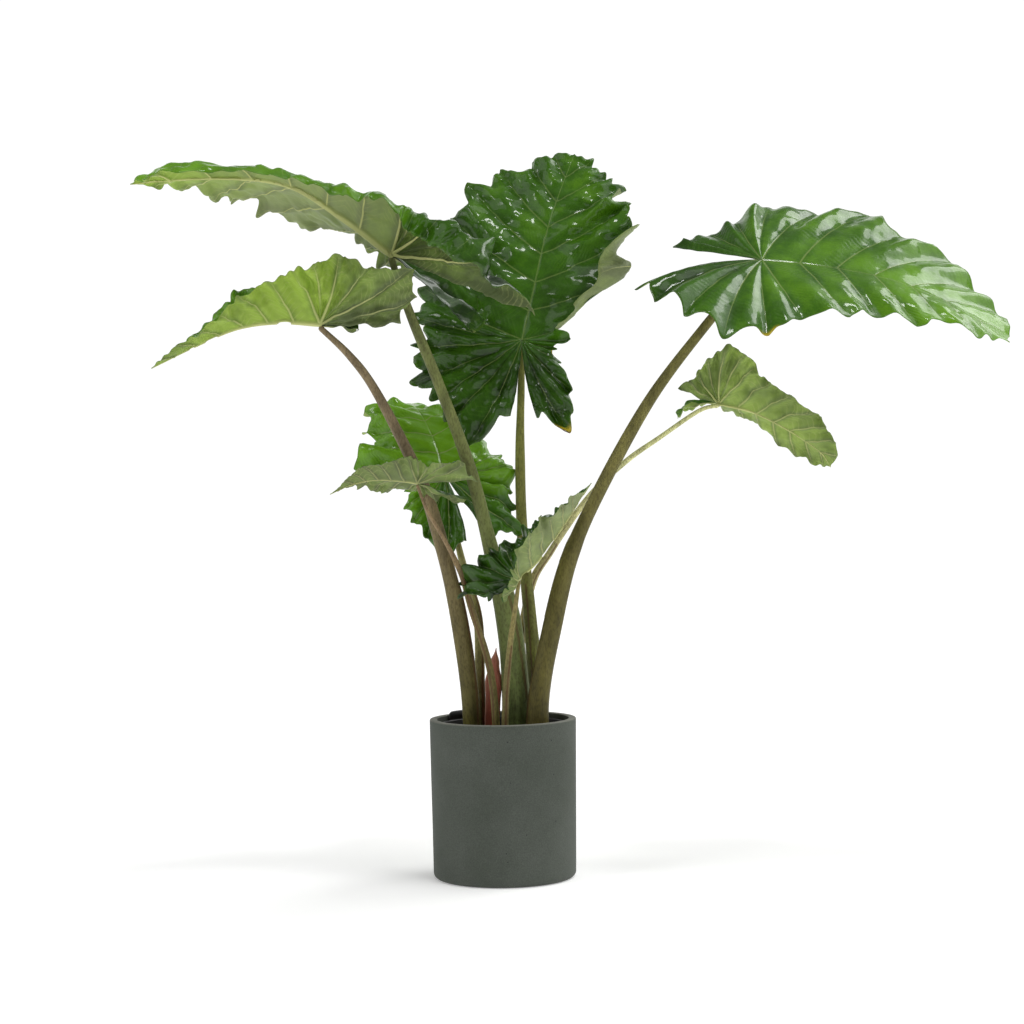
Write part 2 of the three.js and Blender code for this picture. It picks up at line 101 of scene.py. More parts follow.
def ranged(tree, value, start, end, low=0.0, high=1.0, smooth=False):
    """A value that runs from low to high while the given one runs from start to end, and keeps still
    beyond them. It moves evenly, or by the smooth step x * x * (3 - 2x)."""
    ends = {"Value": value, "From Min": start, "From Max": end, "To Min": low, "To Max": high}
    way = "SMOOTHSTEP" if smooth else "LINEAR"
    return add_node(tree, "MapRange", ends, interpolation_type=way).outputs[0]


def new_finish(name, roughness, **sockets):
    """A new material, its node tree and its Principled shader with those sockets set."""
    finish = bpy.data.materials.new(name)
    finish.use_nodes = True
    shader = finish.node_tree.nodes["Principled BSDF"]
    shader.inputs["Roughness"].default_value = roughness
    for key, value in sockets.items():
        shader.inputs[key.replace("_", " ").title().replace("Ior", "IOR")].default_value = value
    return finish, finish.node_tree, shader


sky = bpy.data.worlds.new("studio")
sky.use_nodes = True
tree = sky.node_tree
seen = add_node(tree, "LightPath").outputs["Is Camera Ray"]
direction = add_node(tree, "TexCoord").outputs["Generated"]
toward = add_node(tree, "SeparateXYZ", {0: direction}).outputs
room = ranged(tree, toward["Z"], *ROOM_HEIGHTS, *ROOM_LIGHT)
behind = ranged(tree, toward["Y"], *WALL_SIDES, smooth=True)
low_down = ranged(tree, toward["Z"], *WALL_TOP, low=1.0, high=0.0, smooth=True)
around = count(tree, "ADD", room, count(tree, "MULTIPLY", behind, low_down))
strength = add_node(tree, "Mix", {"Factor": seen, 2: around, 3: SEEN_WHITE}).outputs[0]
tree.links.new(strength, tree.nodes["Background"].inputs["Strength"])
tree.nodes["Background"].inputs["Color"].default_value = WHITE
bpy.context.scene.world = sky

for name, (energy, angle, place) in LAMPS.items():
    light = bpy.data.lights.new(name, "SUN")
    light.energy = energy
    light.angle = radians(angle)
    lamp = bpy.data.objects.new(name, light)
    lamp.matrix_world = (-Vector(place)).to_track_quat("-Z", "Y").to_matrix().to_4x4()
    bpy.context.scene.collection.objects.link(lamp)

floor_corners = [(x * FLOOR_HALF, y * FLOOR_HALF, -FLOOR_DROP)
                 for x, y in ((-1, -1), (1, -1), (1, 1), (-1, 1))]
floor_mesh = bpy.data.meshes.new("floor")
floor_mesh.from_pydata(floor_corners, [], [(0, 1, 2, 3)])
floor = bpy.data.objects.new("floor", floor_mesh)
bpy.context.scene.collection.objects.link(floor)
floor_finish = new_finish("pale_floor", roughness=0.9, base_color=FLOOR_GREY, emission_color=WHITE,
                          emission_strength=FLOOR_GLOW)[0]
floor_mesh.materials.append(floor_finish)


# The planter: one pot cast in fibre cement, open at the top, with a matte grey-green skin. Its wall
# leans out a little, its foot is rounded, and a few pinholes of air show in the skin, painted dark as
# the shade inside them.
# Sizes from here on are in millimetres, and MM makes them metres.
MM = 0.001
PLANTER_HEIGHT = 335
PLANTER_RIM = 155
PLANTER_FOOT = 151
PLANTER_WALL = 16
PLANTER_FLOOR = 22
PLANTER_SIDES = 180
WALL_RINGS = 40
UNDERSIDE_RINGS = (60, 120)
FLOOR_RING = 70
FOOT_ROUND = 11
RIM_ROUND = 2.5
# The cast skin is a few tenths of a millimetre out of round: three broad swells go round the pot, and
# seven small ones that climb its wall.
BROAD_SWELLS, BROAD_SWELL = 3, 0.25
SMALL_SWELLS, SMALL_SWELL = 7, 0.15
SWELL_START, SWELL_CLIMB = 0.7, 60
MEAN_RADIUS = 150
CEMENT_DARK, CEMENT_PALE = "42483f", "4f544d"
RIM_TOP_PALE, PINHOLE_SHADE = "85857b", "2c302d"
GRAIN_FROM, GRAIN_TO = 0.35, 0.65
PINHOLE_SIZE, PINHOLE_EDGE = 0.09, 0.02


def make_piece(name, points, faces, finishes, finish_of_face=None, uv=None, shares=None):
    """A smooth mesh object at the origin, from points in millimetres and triangles as rows of
    three, with one finish a face, places on the surface (uv) and named shares at each point."""
    mesh = bpy.data.meshes.new(name)
    mesh.vertices.add(len(points))
    mesh.vertices.foreach_set("co", (np.asarray(points) * MM).astype(np.float32).ravel())
    mesh.loops.add(3 * len(faces))
    mesh.loops.foreach_set("vertex_index", faces.astype(np.int32).ravel())
    mesh.polygons.add(len(faces))
    mesh.polygons.foreach_set("loop_start", np.arange(0, 3 * len(faces), 3, dtype=np.int32))
    mesh.polygons.foreach_set("use_smooth", np.ones(len(faces), bool))
    for finish in finishes:
        mesh.materials.append(finish)
    if finish_of_face is not None:
        mesh.polygons.foreach_set("material_index", finish_of_face.astype(np.int32))
    if uv is not None:
        layer = mesh.uv_layers.new(name="surface")
        layer.data.foreach_set("uv", uv[faces.ravel()].astype(np.float32).ravel())
    for key, values in (shares or {}).items():
        mesh.attributes.new(key, "FLOAT", "POINT").data.foreach_set("value", values.astype(np.float32))
    mesh.update()
    mesh.validate()
    piece = bpy.data.objects.new(name, mesh)
    bpy.context.scene.collection.objects.link(piece)
    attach(piece, "root")
    return piece


def whole_faces(faces):
    """The triangles whose three corners are three different points."""
    a, b, c = faces.T
    return faces[(a != b) & (b != c) & (c != a)]


def grid_faces(index, flip=False):
    """Two triangles for each cell of a table of point numbers. Faces that shrink to a line go."""
    a, b = index[:-1, :-1].ravel(), index[1:, :-1].ravel()
    d, e = index[1:, 1:].ravel(), index[:-1, 1:].ravel()
    faces = np.concatenate([np.stack([a, b, d], -1), np.stack([a, d, e], -1)])
    return whole_faces(faces[:, ::-1] if flip else faces)


def closed(index):
    """A table of point numbers whose rows end with the point that they begin with."""
    return np.hstack([index, index[:, :1]])


def compact(points, faces):
    """The same surface without the points that no face uses, and the numbers of the points kept."""
    used, renumbered = np.unique(faces, return_inverse=True)
    return points[used], renumbered.reshape(-1, 3), used


def turned_piece(profile, sides):
    """A profile of radius and height carried round the upright axis: (r cos a, r sin a, h). The
    points of the profile that lie on the axis are one point each."""
    radius, height = np.asarray(profile, float).T
    angle = np.arange(sides) * 2 * np.pi / sides
    points = np.stack([np.outer(radius, np.cos(angle)), np.outer(radius, np.sin(angle)),
                       np.repeat(height[:, None], sides, 1)], -1)
    index = np.arange(len(radius) * sides).reshape(len(radius), sides)
    index[radius < 1e-6] = index[radius < 1e-6, :1]
    return compact(points.reshape(-1, 3), grid_faces(closed(index).T))[:2]


def corner(radius, height, round_, start, end, steps):
    """Points of a rounded corner: an arc of that radius about a point, from one angle to another."""
    angle = np.radians(np.linspace(start, end, steps + 1))
    return np.stack([radius + round_ * np.cos(angle), height + round_ * np.sin(angle)], -1)


def straight(start, end, rings):
    """Points spaced evenly on the line from one point to another, without the two themselves."""
    return start + (end - start) * np.linspace(0, 1, rings)[1:-1, None]


def colour(code):
    """The red, green, blue and opacity of a colour written as six hex digits: each pair of digits, as
    a share of 255, is turned into an amount of light by the usual curve of screens."""
    shares = np.array([int(code[k:k + 2], 16) / 255 for k in (0, 2, 4)])
    return (*np.where(shares > 0.04045, ((shares + 0.055) / 1.055) ** 2.4, shares / 12.92), 1.0)


def object_place(tree):
    """The place on the object that a finish's pattern is read from, in metres."""
    return add_node(tree, "TexCoord").outputs["Object"]


def noise(tree, place, scale, detail=2.0, roughness=0.5):
    """A cloudy pattern with that many clouds to the metre, of that many sizes."""
    inputs = {"Vector": place, "Scale": scale, "Detail": detail, "Roughness": roughness}
    return add_node(tree, "TexNoise", inputs).outputs["Fac"]


def ramp(tree, value, *stops):
    """A colour that runs evenly from stop to stop. A stop is a value from 0 to 1 and its colour."""
    node = add_node(tree, "ValToRGB", {"Fac": value})
    for element, (position, shade) in zip(node.color_ramp.elements, (stops[0], stops[-1])):
        element.position = position
        element.color = shade
    for position, shade in stops[1:-1]:
        node.color_ramp.elements.new(position).color = shade
    return node.outputs["Color"]


def blended(tree, part, first, second, way="MIX"):
    """One colour with a part of a second one mixed in, or laid over it in another way."""
    inputs = {0: part, 6: first, 7: second}
    return add_node(tree, "Mix", inputs, data_type="RGBA", blend_type=way).outputs[2]


def relief(tree, height, strength, depth, over=None):
    """The tilt of a surface whose height varies by a depth in metres, laid over another relief."""
    inputs = {"Height": height, "Strength": strength, "Distance": depth}
    if over is not None:
        inputs["Normal"] = over
    return add_node(tree, "Bump", inputs).outputs[0]


def cover(tree, shader, skin, surface_relief=None):
    """Gives a finish's shader its colour and its relief."""
    tree.links.new(skin, shader.inputs["Base Color"])
    if surface_relief is not None:
        tree.links.new(surface_relief, shader.inputs["Normal"])


foot_corner = corner(PLANTER_FOOT - FOOT_ROUND, FOOT_ROUND, FOOT_ROUND, start=-90, end=0, steps=12)
rim_outside = corner(PLANTER_RIM - RIM_ROUND, PLANTER_HEIGHT - RIM_ROUND, RIM_ROUND,
                     start=0, end=90, steps=6)
rim_inside = corner(PLANTER_RIM - PLANTER_WALL + RIM_ROUND, PLANTER_HEIGHT - RIM_ROUND, RIM_ROUND,
                    start=90, end=180, steps=6)
inner_foot = np.array([[PLANTER_FOOT - PLANTER_WALL, PLANTER_FLOOR]])
planter_profile = np.vstack([
    [[0, 0]], [[radius, 0] for radius in UNDERSIDE_RINGS], foot_corner,
    straight(foot_corner[-1], rim_outside[0], WALL_RINGS),
    rim_outside, [[PLANTER_RIM - PLANTER_WALL / 2, PLANTER_HEIGHT]], rim_inside,
    straight(rim_inside[-1], inner_foot[0], WALL_RINGS),
    inner_foot, [[FLOOR_RING, PLANTER_FLOOR]], [[0, PLANTER_FLOOR]],
])
planter_points, planter_faces = turned_piece(planter_profile, PLANTER_SIDES)
turn = np.arctan2(planter_points[:, 1], planter_points[:, 0])
swell = (BROAD_SWELL * np.sin(BROAD_SWELLS * turn + SWELL_START)
         + SMALL_SWELL * np.sin(SMALL_SWELLS * turn + planter_points[:, 2] / SWELL_CLIMB))
planter_points[:, :2] *= (1 + swell / MEAN_RADIUS)[:, None]

cement, tree, shader = new_finish("fibre_cement", roughness=0.82)
place = object_place(tree)
clouds = noise(tree, place, scale=7, detail=5, roughness=0.6)
clouded = ramp(tree, clouds, (0.3, colour(CEMENT_DARK)), (0.72, colour(CEMENT_PALE)))
grain = noise(tree, place, scale=420, detail=3)
grained = ramp(tree, grain, *((tone, (tone, tone, tone, 1)) for tone in (GRAIN_FROM, GRAIN_TO)))
speckled = blended(tree, 0.5, clouded, grained, "OVERLAY")
pinholes = add_node(tree, "TexVoronoi", {"Vector": place, "Scale": 42, "Randomness": 1})
hole_size = count(tree, "MULTIPLY", noise(tree, place, scale=30), PINHOLE_SIZE)
from_hole = count(tree, "SUBTRACT", pinholes.outputs["Distance"], hole_size)
hole = ranged(tree, from_hole, start=0.0, end=PINHOLE_EDGE, low=1.0, high=0.0)
# The rim's top is painted a little paler.
height = add_node(tree, "SeparateXYZ", {0: place}).outputs["Z"]
paler_top_part = ranged(tree, height, start=(PLANTER_HEIGHT - RIM_ROUND) * MM, end=PLANTER_HEIGHT * MM,
                high=0.6)
paler = blended(tree, paler_top_part, speckled, colour(RIM_TOP_PALE))
# Painted shade: each pinhole is painted dark for the shade inside it.
pitted = blended(tree, hole, paler, colour(PINHOLE_SHADE))
cover(tree, shader, pitted,
      relief(tree, count(tree, "SUBTRACT", grain, hole), strength=0.25, depth=0.0006))

planter = make_piece("planter_cast", planter_points, planter_faces, [cement])
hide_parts("planter")


# The nursery pot: thin black plastic, moulded with a rolled lip and one lug to lift it by, which stands
# a little above the planter's rim at the back left.
POT_TOP = 324
POT_RIM = 137
POT_FOOT = 112
POT_WALL = 2.5
POT_LIP = 3
POT_ROUND = 2
POT_SIDES = 160
POT_RINGS = 24
RESTING_GAP = 0.3
POT_STAND = PLANTER_FLOOR + RESTING_GAP
LIP_HEIGHT = 7
LIP_EDGE_IN, LIP_EDGE_UP, LIP_EDGE_ROUND = 0.8, 1.2, 1
LUG_TOP = 343
LUG_FROM, LUG_TO = 118, 149
LUG_STEPS = 41
LUG_SQUARENESS = 7
LUG_BEVEL_DOWN, LUG_BEVEL_IN = 1.2, 1
PLASTIC_BLACK, PLASTIC_DUSTY = "17171a", "2e2b29"

pot_inner_rim = POT_RIM - POT_LIP - POT_WALL
pot_outside = np.array([[POT_FOOT, POT_STAND], [POT_RIM - POT_LIP, POT_TOP - LIP_HEIGHT]])
pot_inside = np.array([[pot_inner_rim, POT_TOP - POT_ROUND],
                       [POT_FOOT - POT_WALL, POT_STAND + POT_WALL]])
pot_profile = np.vstack([
    [[0, POT_STAND]],
    corner(POT_FOOT - POT_ROUND, POT_STAND + POT_ROUND, POT_ROUND, start=-90, end=0, steps=4),
    straight(*pot_outside, POT_RINGS),
    pot_outside[1:], [[POT_RIM - LIP_EDGE_IN, POT_TOP - LIP_HEIGHT]],
    corner(POT_RIM - LIP_EDGE_ROUND, POT_TOP - LIP_HEIGHT + LIP_EDGE_UP, LIP_EDGE_ROUND,
           start=-45, end=0, steps=2),
    corner(POT_RIM - POT_ROUND, POT_TOP - POT_ROUND, POT_ROUND, start=0, end=90, steps=5),
    corner(pot_inner_rim + POT_ROUND, POT_TOP - POT_ROUND, POT_ROUND, start=90, end=180, steps=5),
    straight(*pot_inside, POT_RINGS),
    pot_inside[1:], [[0, POT_STAND + POT_WALL]],
])
pot_points, pot_faces = turned_piece(pot_profile, POT_SIDES)

# The lug is a curved strip with rounded upper corners: a closed section of wall, carried round.
lug_turn = np.radians(np.linspace(LUG_FROM, LUG_TO, LUG_STEPS))[:, None]
lug_arch = (1 - np.abs(np.linspace(-1, 1, LUG_STEPS)) ** LUG_SQUARENESS) ** (1 / 3)
lug_tops = POT_TOP + (LUG_TOP - POT_TOP) * lug_arch
lug_bevels = lug_tops - LUG_BEVEL_DOWN
lug_feet = np.full(LUG_STEPS, POT_TOP - LIP_HEIGHT / 2)
lug_heights = np.stack([lug_feet, lug_bevels, lug_tops, lug_tops, lug_bevels, lug_feet], -1)
lug_inside = POT_RIM - POT_LIP
lug_radii = np.array([POT_RIM, POT_RIM, POT_RIM - LUG_BEVEL_IN, lug_inside + LUG_BEVEL_IN, lug_inside,
                      lug_inside])
lug_points = np.stack([np.cos(lug_turn) * lug_radii, np.sin(lug_turn) * lug_radii, lug_heights], -1)
lug_index = np.arange(lug_heights.size).reshape(lug_heights.shape)
lug_end = np.array([[0, k, k + 1] for k in range(1, len(lug_radii) - 1)])
lug_faces = np.vstack([grid_faces(closed(lug_index)), lug_end, lug_end[:, ::-1] + lug_index[-1, 0]])

black, tree, shader = new_finish("black_plastic", roughness=0.42)
place = object_place(tree)
dust = noise(tree, place, scale=35, detail=6)
dusty = ramp(tree, dust, (0.4, colour(PLASTIC_BLACK)), (0.8, colour(PLASTIC_DUSTY)))
cover(tree, shader, dusty, relief(tree, noise(tree, place, scale=900), strength=0.15, depth=0.0003))

pot = make_piece("nursery_pot", np.vstack([pot_points, lug_points.reshape(-1, 3)]),
                 np.vstack([pot_faces, lug_faces + len(pot_points)]), [black])
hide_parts("grow_pot")


# The potting mix: dark peat heaped a little in the middle, rough with crumbs, and strewn with chips of
# bark and a few white grains of perlite.
SOIL_TOP = 297
SOIL_CROWN = 6
SOIL_FOOT = POT_STAND + POT_WALL + RESTING_GAP
SOIL_FOOT_EDGE = POT_FOOT - POT_WALL - 0.6
SOIL_EDGE = pot_inner_rim - 2.2
SOIL_SIDES, SOIL_RINGS, RING_POWER = 220, 70, 0.8
CRUMB_HEIGHT = 2.6
# Each size of crumb in millimetres, its number of waves and how high it stands beside the first.
CRUMBS = ((40, 9, 1.0), (9, 24, 0.7), (4, 24, 0.4))
CRUMB_SPREAD = (0.6, 1.6)
EDGE_FADE, EDGE_CRUMBS = 6, 0.15
PEAT_DARK, PEAT_PALE = "17100b", "4a3626"
CHIPS = 260
CHIP_SIZES = (1.6, 6.5)
CHIP_LEAST, CHIP_MOST = [0.6, 0.4, 0.2], [1.4, 0.8, 0.45]
CHIP_CORNERS = (0.75, 1.25)
CHIP_FROM_EDGE, CHIP_UP, CHIP_LEVEL = 6, 1.2, 3
PERLITE_SHARE, PERLITE_TONE = 0.1, 1.0
BARK_TONE = 0.6
BARK_DARK, BARK_BROWN, PERLITE_WHITE = "2a1a10", "6b4a30", "d8d4ca"
CRUMB_SEED, CHIP_SEED = 5, 11


def rough(x, y, size, waves, draws):
    """A smooth random height between about -1 and 1 at each place: a sum of sine waves with drawn
    directions, starts and lengths near size, divided by the root of their number."""
    turn, start = draws.uniform(0, 2 * np.pi, (2, waves))
    pace = 2 * np.pi / (size * draws.uniform(*CRUMB_SPREAD, waves))
    heights = [np.sin(k * (x * np.cos(a) + y * np.sin(a)) + s) for k, a, s in zip(pace, turn, start)]
    return np.sum(heights, 0) / np.sqrt(waves)


def soil_height(x, y):
    """The mix's upper surface: a low crown, swells 40 mm across, and crumbs 9 and 4 mm across. They
    grow lower towards the edge."""
    draws = np.random.default_rng(CRUMB_SEED)
    out = np.hypot(x, y) / SOIL_EDGE
    crumbs = sum(part * rough(x, y, size, waves, draws) for size, waves, part in CRUMBS)
    lower = np.clip(EDGE_FADE - EDGE_FADE * out, EDGE_CRUMBS, 1)
    return SOIL_TOP + SOIL_CROWN * (1 - out ** 2) + CRUMB_HEIGHT * crumbs * lower


def attribute(tree, key):
    """A share that a mesh carries at its points, by its name."""
    return add_node(tree, "Attribute", attribute_name=key).outputs["Fac"]


soil_rings = SOIL_EDGE * np.linspace(1, 0, SOIL_RINGS) ** RING_POWER
soil_profile = np.vstack([
    [[0, SOIL_FOOT]], [[SOIL_FOOT_EDGE, SOIL_FOOT]],
    np.stack([soil_rings, np.full(SOIL_RINGS, SOIL_TOP)], -1),
])
soil_points, soil_faces = turned_piece(soil_profile, SOIL_SIDES)
on_top = soil_points[:, 2] > SOIL_TOP - 1
soil_points[on_top, 2] = soil_height(*soil_points[on_top, :2].T)

peat, tree, shader = new_finish("potting_mix", roughness=0.95)
clumps = noise(tree, object_place(tree), scale=130, detail=8, roughness=0.7)
clumped = ramp(tree, clumps, (0.32, colour(PEAT_DARK)), (0.72, colour(PEAT_PALE)))
cover(tree, shader, clumped, relief(tree, clumps, strength=0.8, depth=0.002))

soil = make_piece("potting_soil", soil_points, soil_faces, [peat])
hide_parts("soil")

# One chip is a squashed lump of twelve points and twenty faces, copied, turned and scaled by draws.
# Each face joins three points that are neighbours, and its corners are put in order from outside.
NEIGHBOUR_SPAN = 1.2
golden = (1 + 5 ** 0.5) / 2
lump = np.array([[0, a, b] for a in (-1, 1) for b in (-golden, golden)])
lump = np.vstack([lump, lump[:, [1, 2, 0]], lump[:, [2, 0, 1]]]) / np.hypot(1, golden)
spans = np.linalg.norm(lump[:, None] - lump[None], axis=-1)
near = spans < NEIGHBOUR_SPAN
lump_faces = np.array([[a, b, c] for a, b, c in combinations(range(len(lump)), 3)
                       if near[a, b] and near[b, c] and near[a, c]])
first, second, third = lump[lump_faces].transpose(1, 0, 2)
inward = np.einsum("ij,ij->i", np.cross(second - first, third - first), first) < 0
lump_faces[inward] = lump_faces[inward][:, ::-1]

chip_draws = np.random.default_rng(CHIP_SEED)
chip_out = (SOIL_EDGE - CHIP_FROM_EDGE) * np.sqrt(chip_draws.uniform(0, 1, CHIPS))
chip_turn = chip_draws.uniform(0, 2 * np.pi, CHIPS)
chip_x, chip_y = chip_out * np.cos(chip_turn), chip_out * np.sin(chip_turn)
chip_shape = chip_draws.uniform(CHIP_LEAST, CHIP_MOST, (CHIPS, 1, 3))
chip_size = chip_draws.uniform(*CHIP_SIZES, (CHIPS, 1, 1)) * chip_shape
chip_lean = chip_draws.normal(size=(CHIPS, 3, 3)) + [[0, 0, 0], [0, 0, 0], [0, 0, CHIP_LEVEL]]
chip_frames = np.linalg.qr(chip_lean)[0]
chip_lumps = lump * chip_draws.uniform(*CHIP_CORNERS, (CHIPS, len(lump), 1)) * chip_size
chip_places = np.stack([chip_x, chip_y, soil_height(chip_x, chip_y) + CHIP_UP], -1)[:, None]
chip_points = (np.einsum("nij,nkj->nki", chip_frames, chip_lumps) + chip_places).reshape(-1, 3)
chip_faces = lump_faces[None] + len(lump) * np.arange(CHIPS)[:, None, None]
mirrored = np.linalg.det(chip_frames) < 0
chip_faces[mirrored] = chip_faces[mirrored][..., ::-1]
is_perlite = chip_draws.uniform(size=CHIPS) < PERLITE_SHARE
chip_tone = np.where(is_perlite, PERLITE_TONE, chip_draws.uniform(0, BARK_TONE, CHIPS))

bark, tree, shader = new_finish("bark_and_perlite", roughness=0.9)
chip_colour = ramp(tree, attribute(tree, "tone"), (0.0, colour(BARK_DARK)), (0.62, colour(BARK_BROWN)),
                   (1.0, colour(PERLITE_WHITE)))
cover(tree, shader, chip_colour)
chips = make_piece("bark_chips", chip_points, chip_faces.reshape(-1, 3), [bark],
                   shares={"tone": np.repeat(chip_tone, len(lump))})
chips.data.polygons.foreach_set("use_smooth", np.zeros(len(chips.data.polygons), bool))


# The stalks: eight fleshy leaf stalks that rise from the mix and lean out, each thick at the foot, where
# a sheath wraps it with one brown edge, and thin at the blade. Their skin is olive, flecked with brown.
STALK_RINGS = 150
STALK_SIDES = 64
CAP_RINGS, CAP_ROOM, CAP_END = 6, 0.75, 1e-3
SHEATH_STOPS = 0.02
LIFT_AT_FOOT, LIFT_GAIN, LIFT_POWER = 0.55, 0.45, 1.5
# Each set of flutes: its depth as a part of the radius, how many go round, and how far they wind.
FLUTES = ((0.015, 5, 4), (0.01, 9, -7))
BROWN_WIDTH, BROWN_PART = 2.2, 0.75
SKIN_STRETCH = (1, 1, 0.35)
FLECK, EDGE_BROWN = "2f2416", "5b3a27"
# A stalk's line is points from its foot to its blade, and its radii run from foot to top. Its sheath
# ends at a share of the way up, and the sheath's brown edge stands at an angle round it, in degrees.
STALKS = {
    "right_high": dict(
        line=[[71, -41, 256], [75, -41, 376], [102, -38, 510], [144, -32, 669], [211, -30, 815],
              [319, -30, 1003], [432, -30, 1150], [500, -34, 1226], [557, -40, 1288]],
        radii=[25, 20, 14, 10, 6], sheath_end=0.42, sheath_edge=[215, 190], sheath_lift=2.2,
        foot="554f25", top="78733f"),
    "left_high": dict(
        line=[[29, 0, 252], [27, 0, 394], [14, -12, 543], [-20, -28, 696], [-63, -42, 869],
              [-127, -55, 1050], [-183, -68, 1193], [-218, -90, 1302]],
        radii=[32, 26, 14, 11, 7], sheath_end=0.36, sheath_edge=[-25, -60], sheath_lift=3.0,
        foot="62703c", top="747b47"),
    "left_middle": dict(
        line=[[-64, -18, 255], [-70, -20, 397], [-89, -25, 545], [-114, -35, 668], [-152, -48, 809],
              [-186, -58, 891], [-256, -74, 1030], [-306, -85, 1100], [-367, -95, 1160]],
        radii=[18, 18, 15, 12, 9, 6], sheath_end=0.33, sheath_edge=[-40, -20], sheath_lift=1.8,
        foot="5c5826", top="88785a"),
    "back_high": dict(
        line=[[72, 48, 245], [72, 50, 389], [61, 60, 538], [47, 92, 731], [45, 98, 904], [49, 86, 1033],
              [52, 62, 1132]],
        radii=[18, 16, 13, 11, 8, 6], sheath_end=0.4, sheath_edge=[-130, -100], sheath_lift=1.8,
        foot="565a2c", top="838544"),
    "right_low": dict(
        line=[[16, 62, 244], [29, 72, 409], [62, 98, 601], [107, 108, 682], [191, 115, 798],
              [273, 125, 875], [350, 128, 928], [435, 130, 984], [481, 142, 996]],
        radii=[10, 9, 7, 6, 5, 4], sheath_end=0.4, sheath_edge=[-80, -60], sheath_lift=0.9,
        foot="a08c5c", top="e2e2a2"),
    "left_low_back": dict(
        line=[[-46, 25, 250], [-48, 28, 392], [-50, 38, 541], [-73, 48, 629], [-93, 58, 712],
              [-111, 62, 798], [-119, 60, 850]],
        radii=[12, 10, 8, 6, 5], sheath_end=0.45, sheath_edge=[-60, -40], sheath_lift=1.2,
        foot="6c6638", top="99955f"),
    "left_low_front": dict(
        line=[[-11, -60, 260], [-23, -52, 430], [-63, -38, 572], [-79, -38, 633], [-97, -60, 678],
              [-117, -84, 718], [-150, -106, 779], [-169, -120, 830]],
        radii=[8, 7, 6, 4, 3], sheath_end=0.45, sheath_edge=[-120, -90], sheath_lift=0.8,
        foot="77703f", top="937d5c"),
    "front_low": dict(
        line=[[2, -72, 261], [8, -76, 401], [18, -90, 496], [29, -106, 569], [38, -120, 630]],
        radii=[7, 7, 6, 5, 4], sheath_end=0.5, sheath_edge=[-80, -60], sheath_lift=0.7,
        foot="716a40", top="8c824f"),
}


def line_through(points, places, free_ends=True):
    """A smooth line through points, read at places 0, 1, 2 ... along them. Between two points it is
    a cubic whose slope at each is half the step between that point's two neighbours."""
    points = np.asarray(points, float)
    first_guide, last_guide = points[0], points[-1]
    if free_ends:
        first_guide, last_guide = 2 * points[0] - points[1], 2 * points[-1] - points[-2]
    guides = np.concatenate([[first_guide], points, [last_guide]])
    low = np.clip(np.floor(places).astype(int), 0, len(points) - 2)
    x = places - low
    x = x[:, None] if points.ndim == 2 else x
    before, start, end, after = (guides[low + k] for k in range(4))
    return start + 0.5 * x * (end - before + x * (2 * before - 5 * start + 4 * end - after
                                                  + x * (3 * (start - end) + after - before)))


def between(values, share):
    """The value at a share of the way through a list. From one value to the next it moves by the
    smooth step x * x * (3 - 2x)."""
    values = np.asarray(values, float)
    place = np.clip(share, 0, 1) * (len(values) - 1)
    low = np.minimum(np.floor(place).astype(int), len(values) - 2)
    x = place - low
    return values[low] + (values[low + 1] - values[low]) * x * x * (3 - 2 * x)


def unit(vectors):
    """The same directions with length 1."""
    return vectors / np.linalg.norm(vectors, axis=-1, keepdims=True)


def length_so_far(points):
    """How long a line of points is up to each one: the sum of the steps before it."""
    return np.r_[0, np.cumsum(np.linalg.norm(np.diff(points, axis=0), axis=1))]


def ways_round(centre):
    """At each point of a line, the way along it and the two ways square to it: one sideways as seen
    from the front, and one in depth."""
    along = unit(np.gradient(centre, axis=0))
    across = unit(np.cross([0, 1, 0], along))
    return along, across, np.cross(along, across)


def tube(centre, across, depth, sideways, deep):
    """Rings of points round a line, each point moved sideways and in depth from its centre, with a
    fan of faces over the first ring and the last."""
    points = centre[:, None] + across[:, None] * sideways[..., None] + depth[:, None] * deep[..., None]
    index = np.arange(sideways.size).reshape(sideways.shape)
    foot, top = index[0], index[-1]
    foot_faces = np.stack([foot[0] + 0 * foot[1:-1], foot[2:], foot[1:-1]], -1)
    top_faces = np.stack([top[0] + 0 * top[1:-1], top[1:-1], top[2:]], -1)
    return points.reshape(-1, 3), np.vstack([grid_faces(closed(index).T), foot_faces, top_faces])


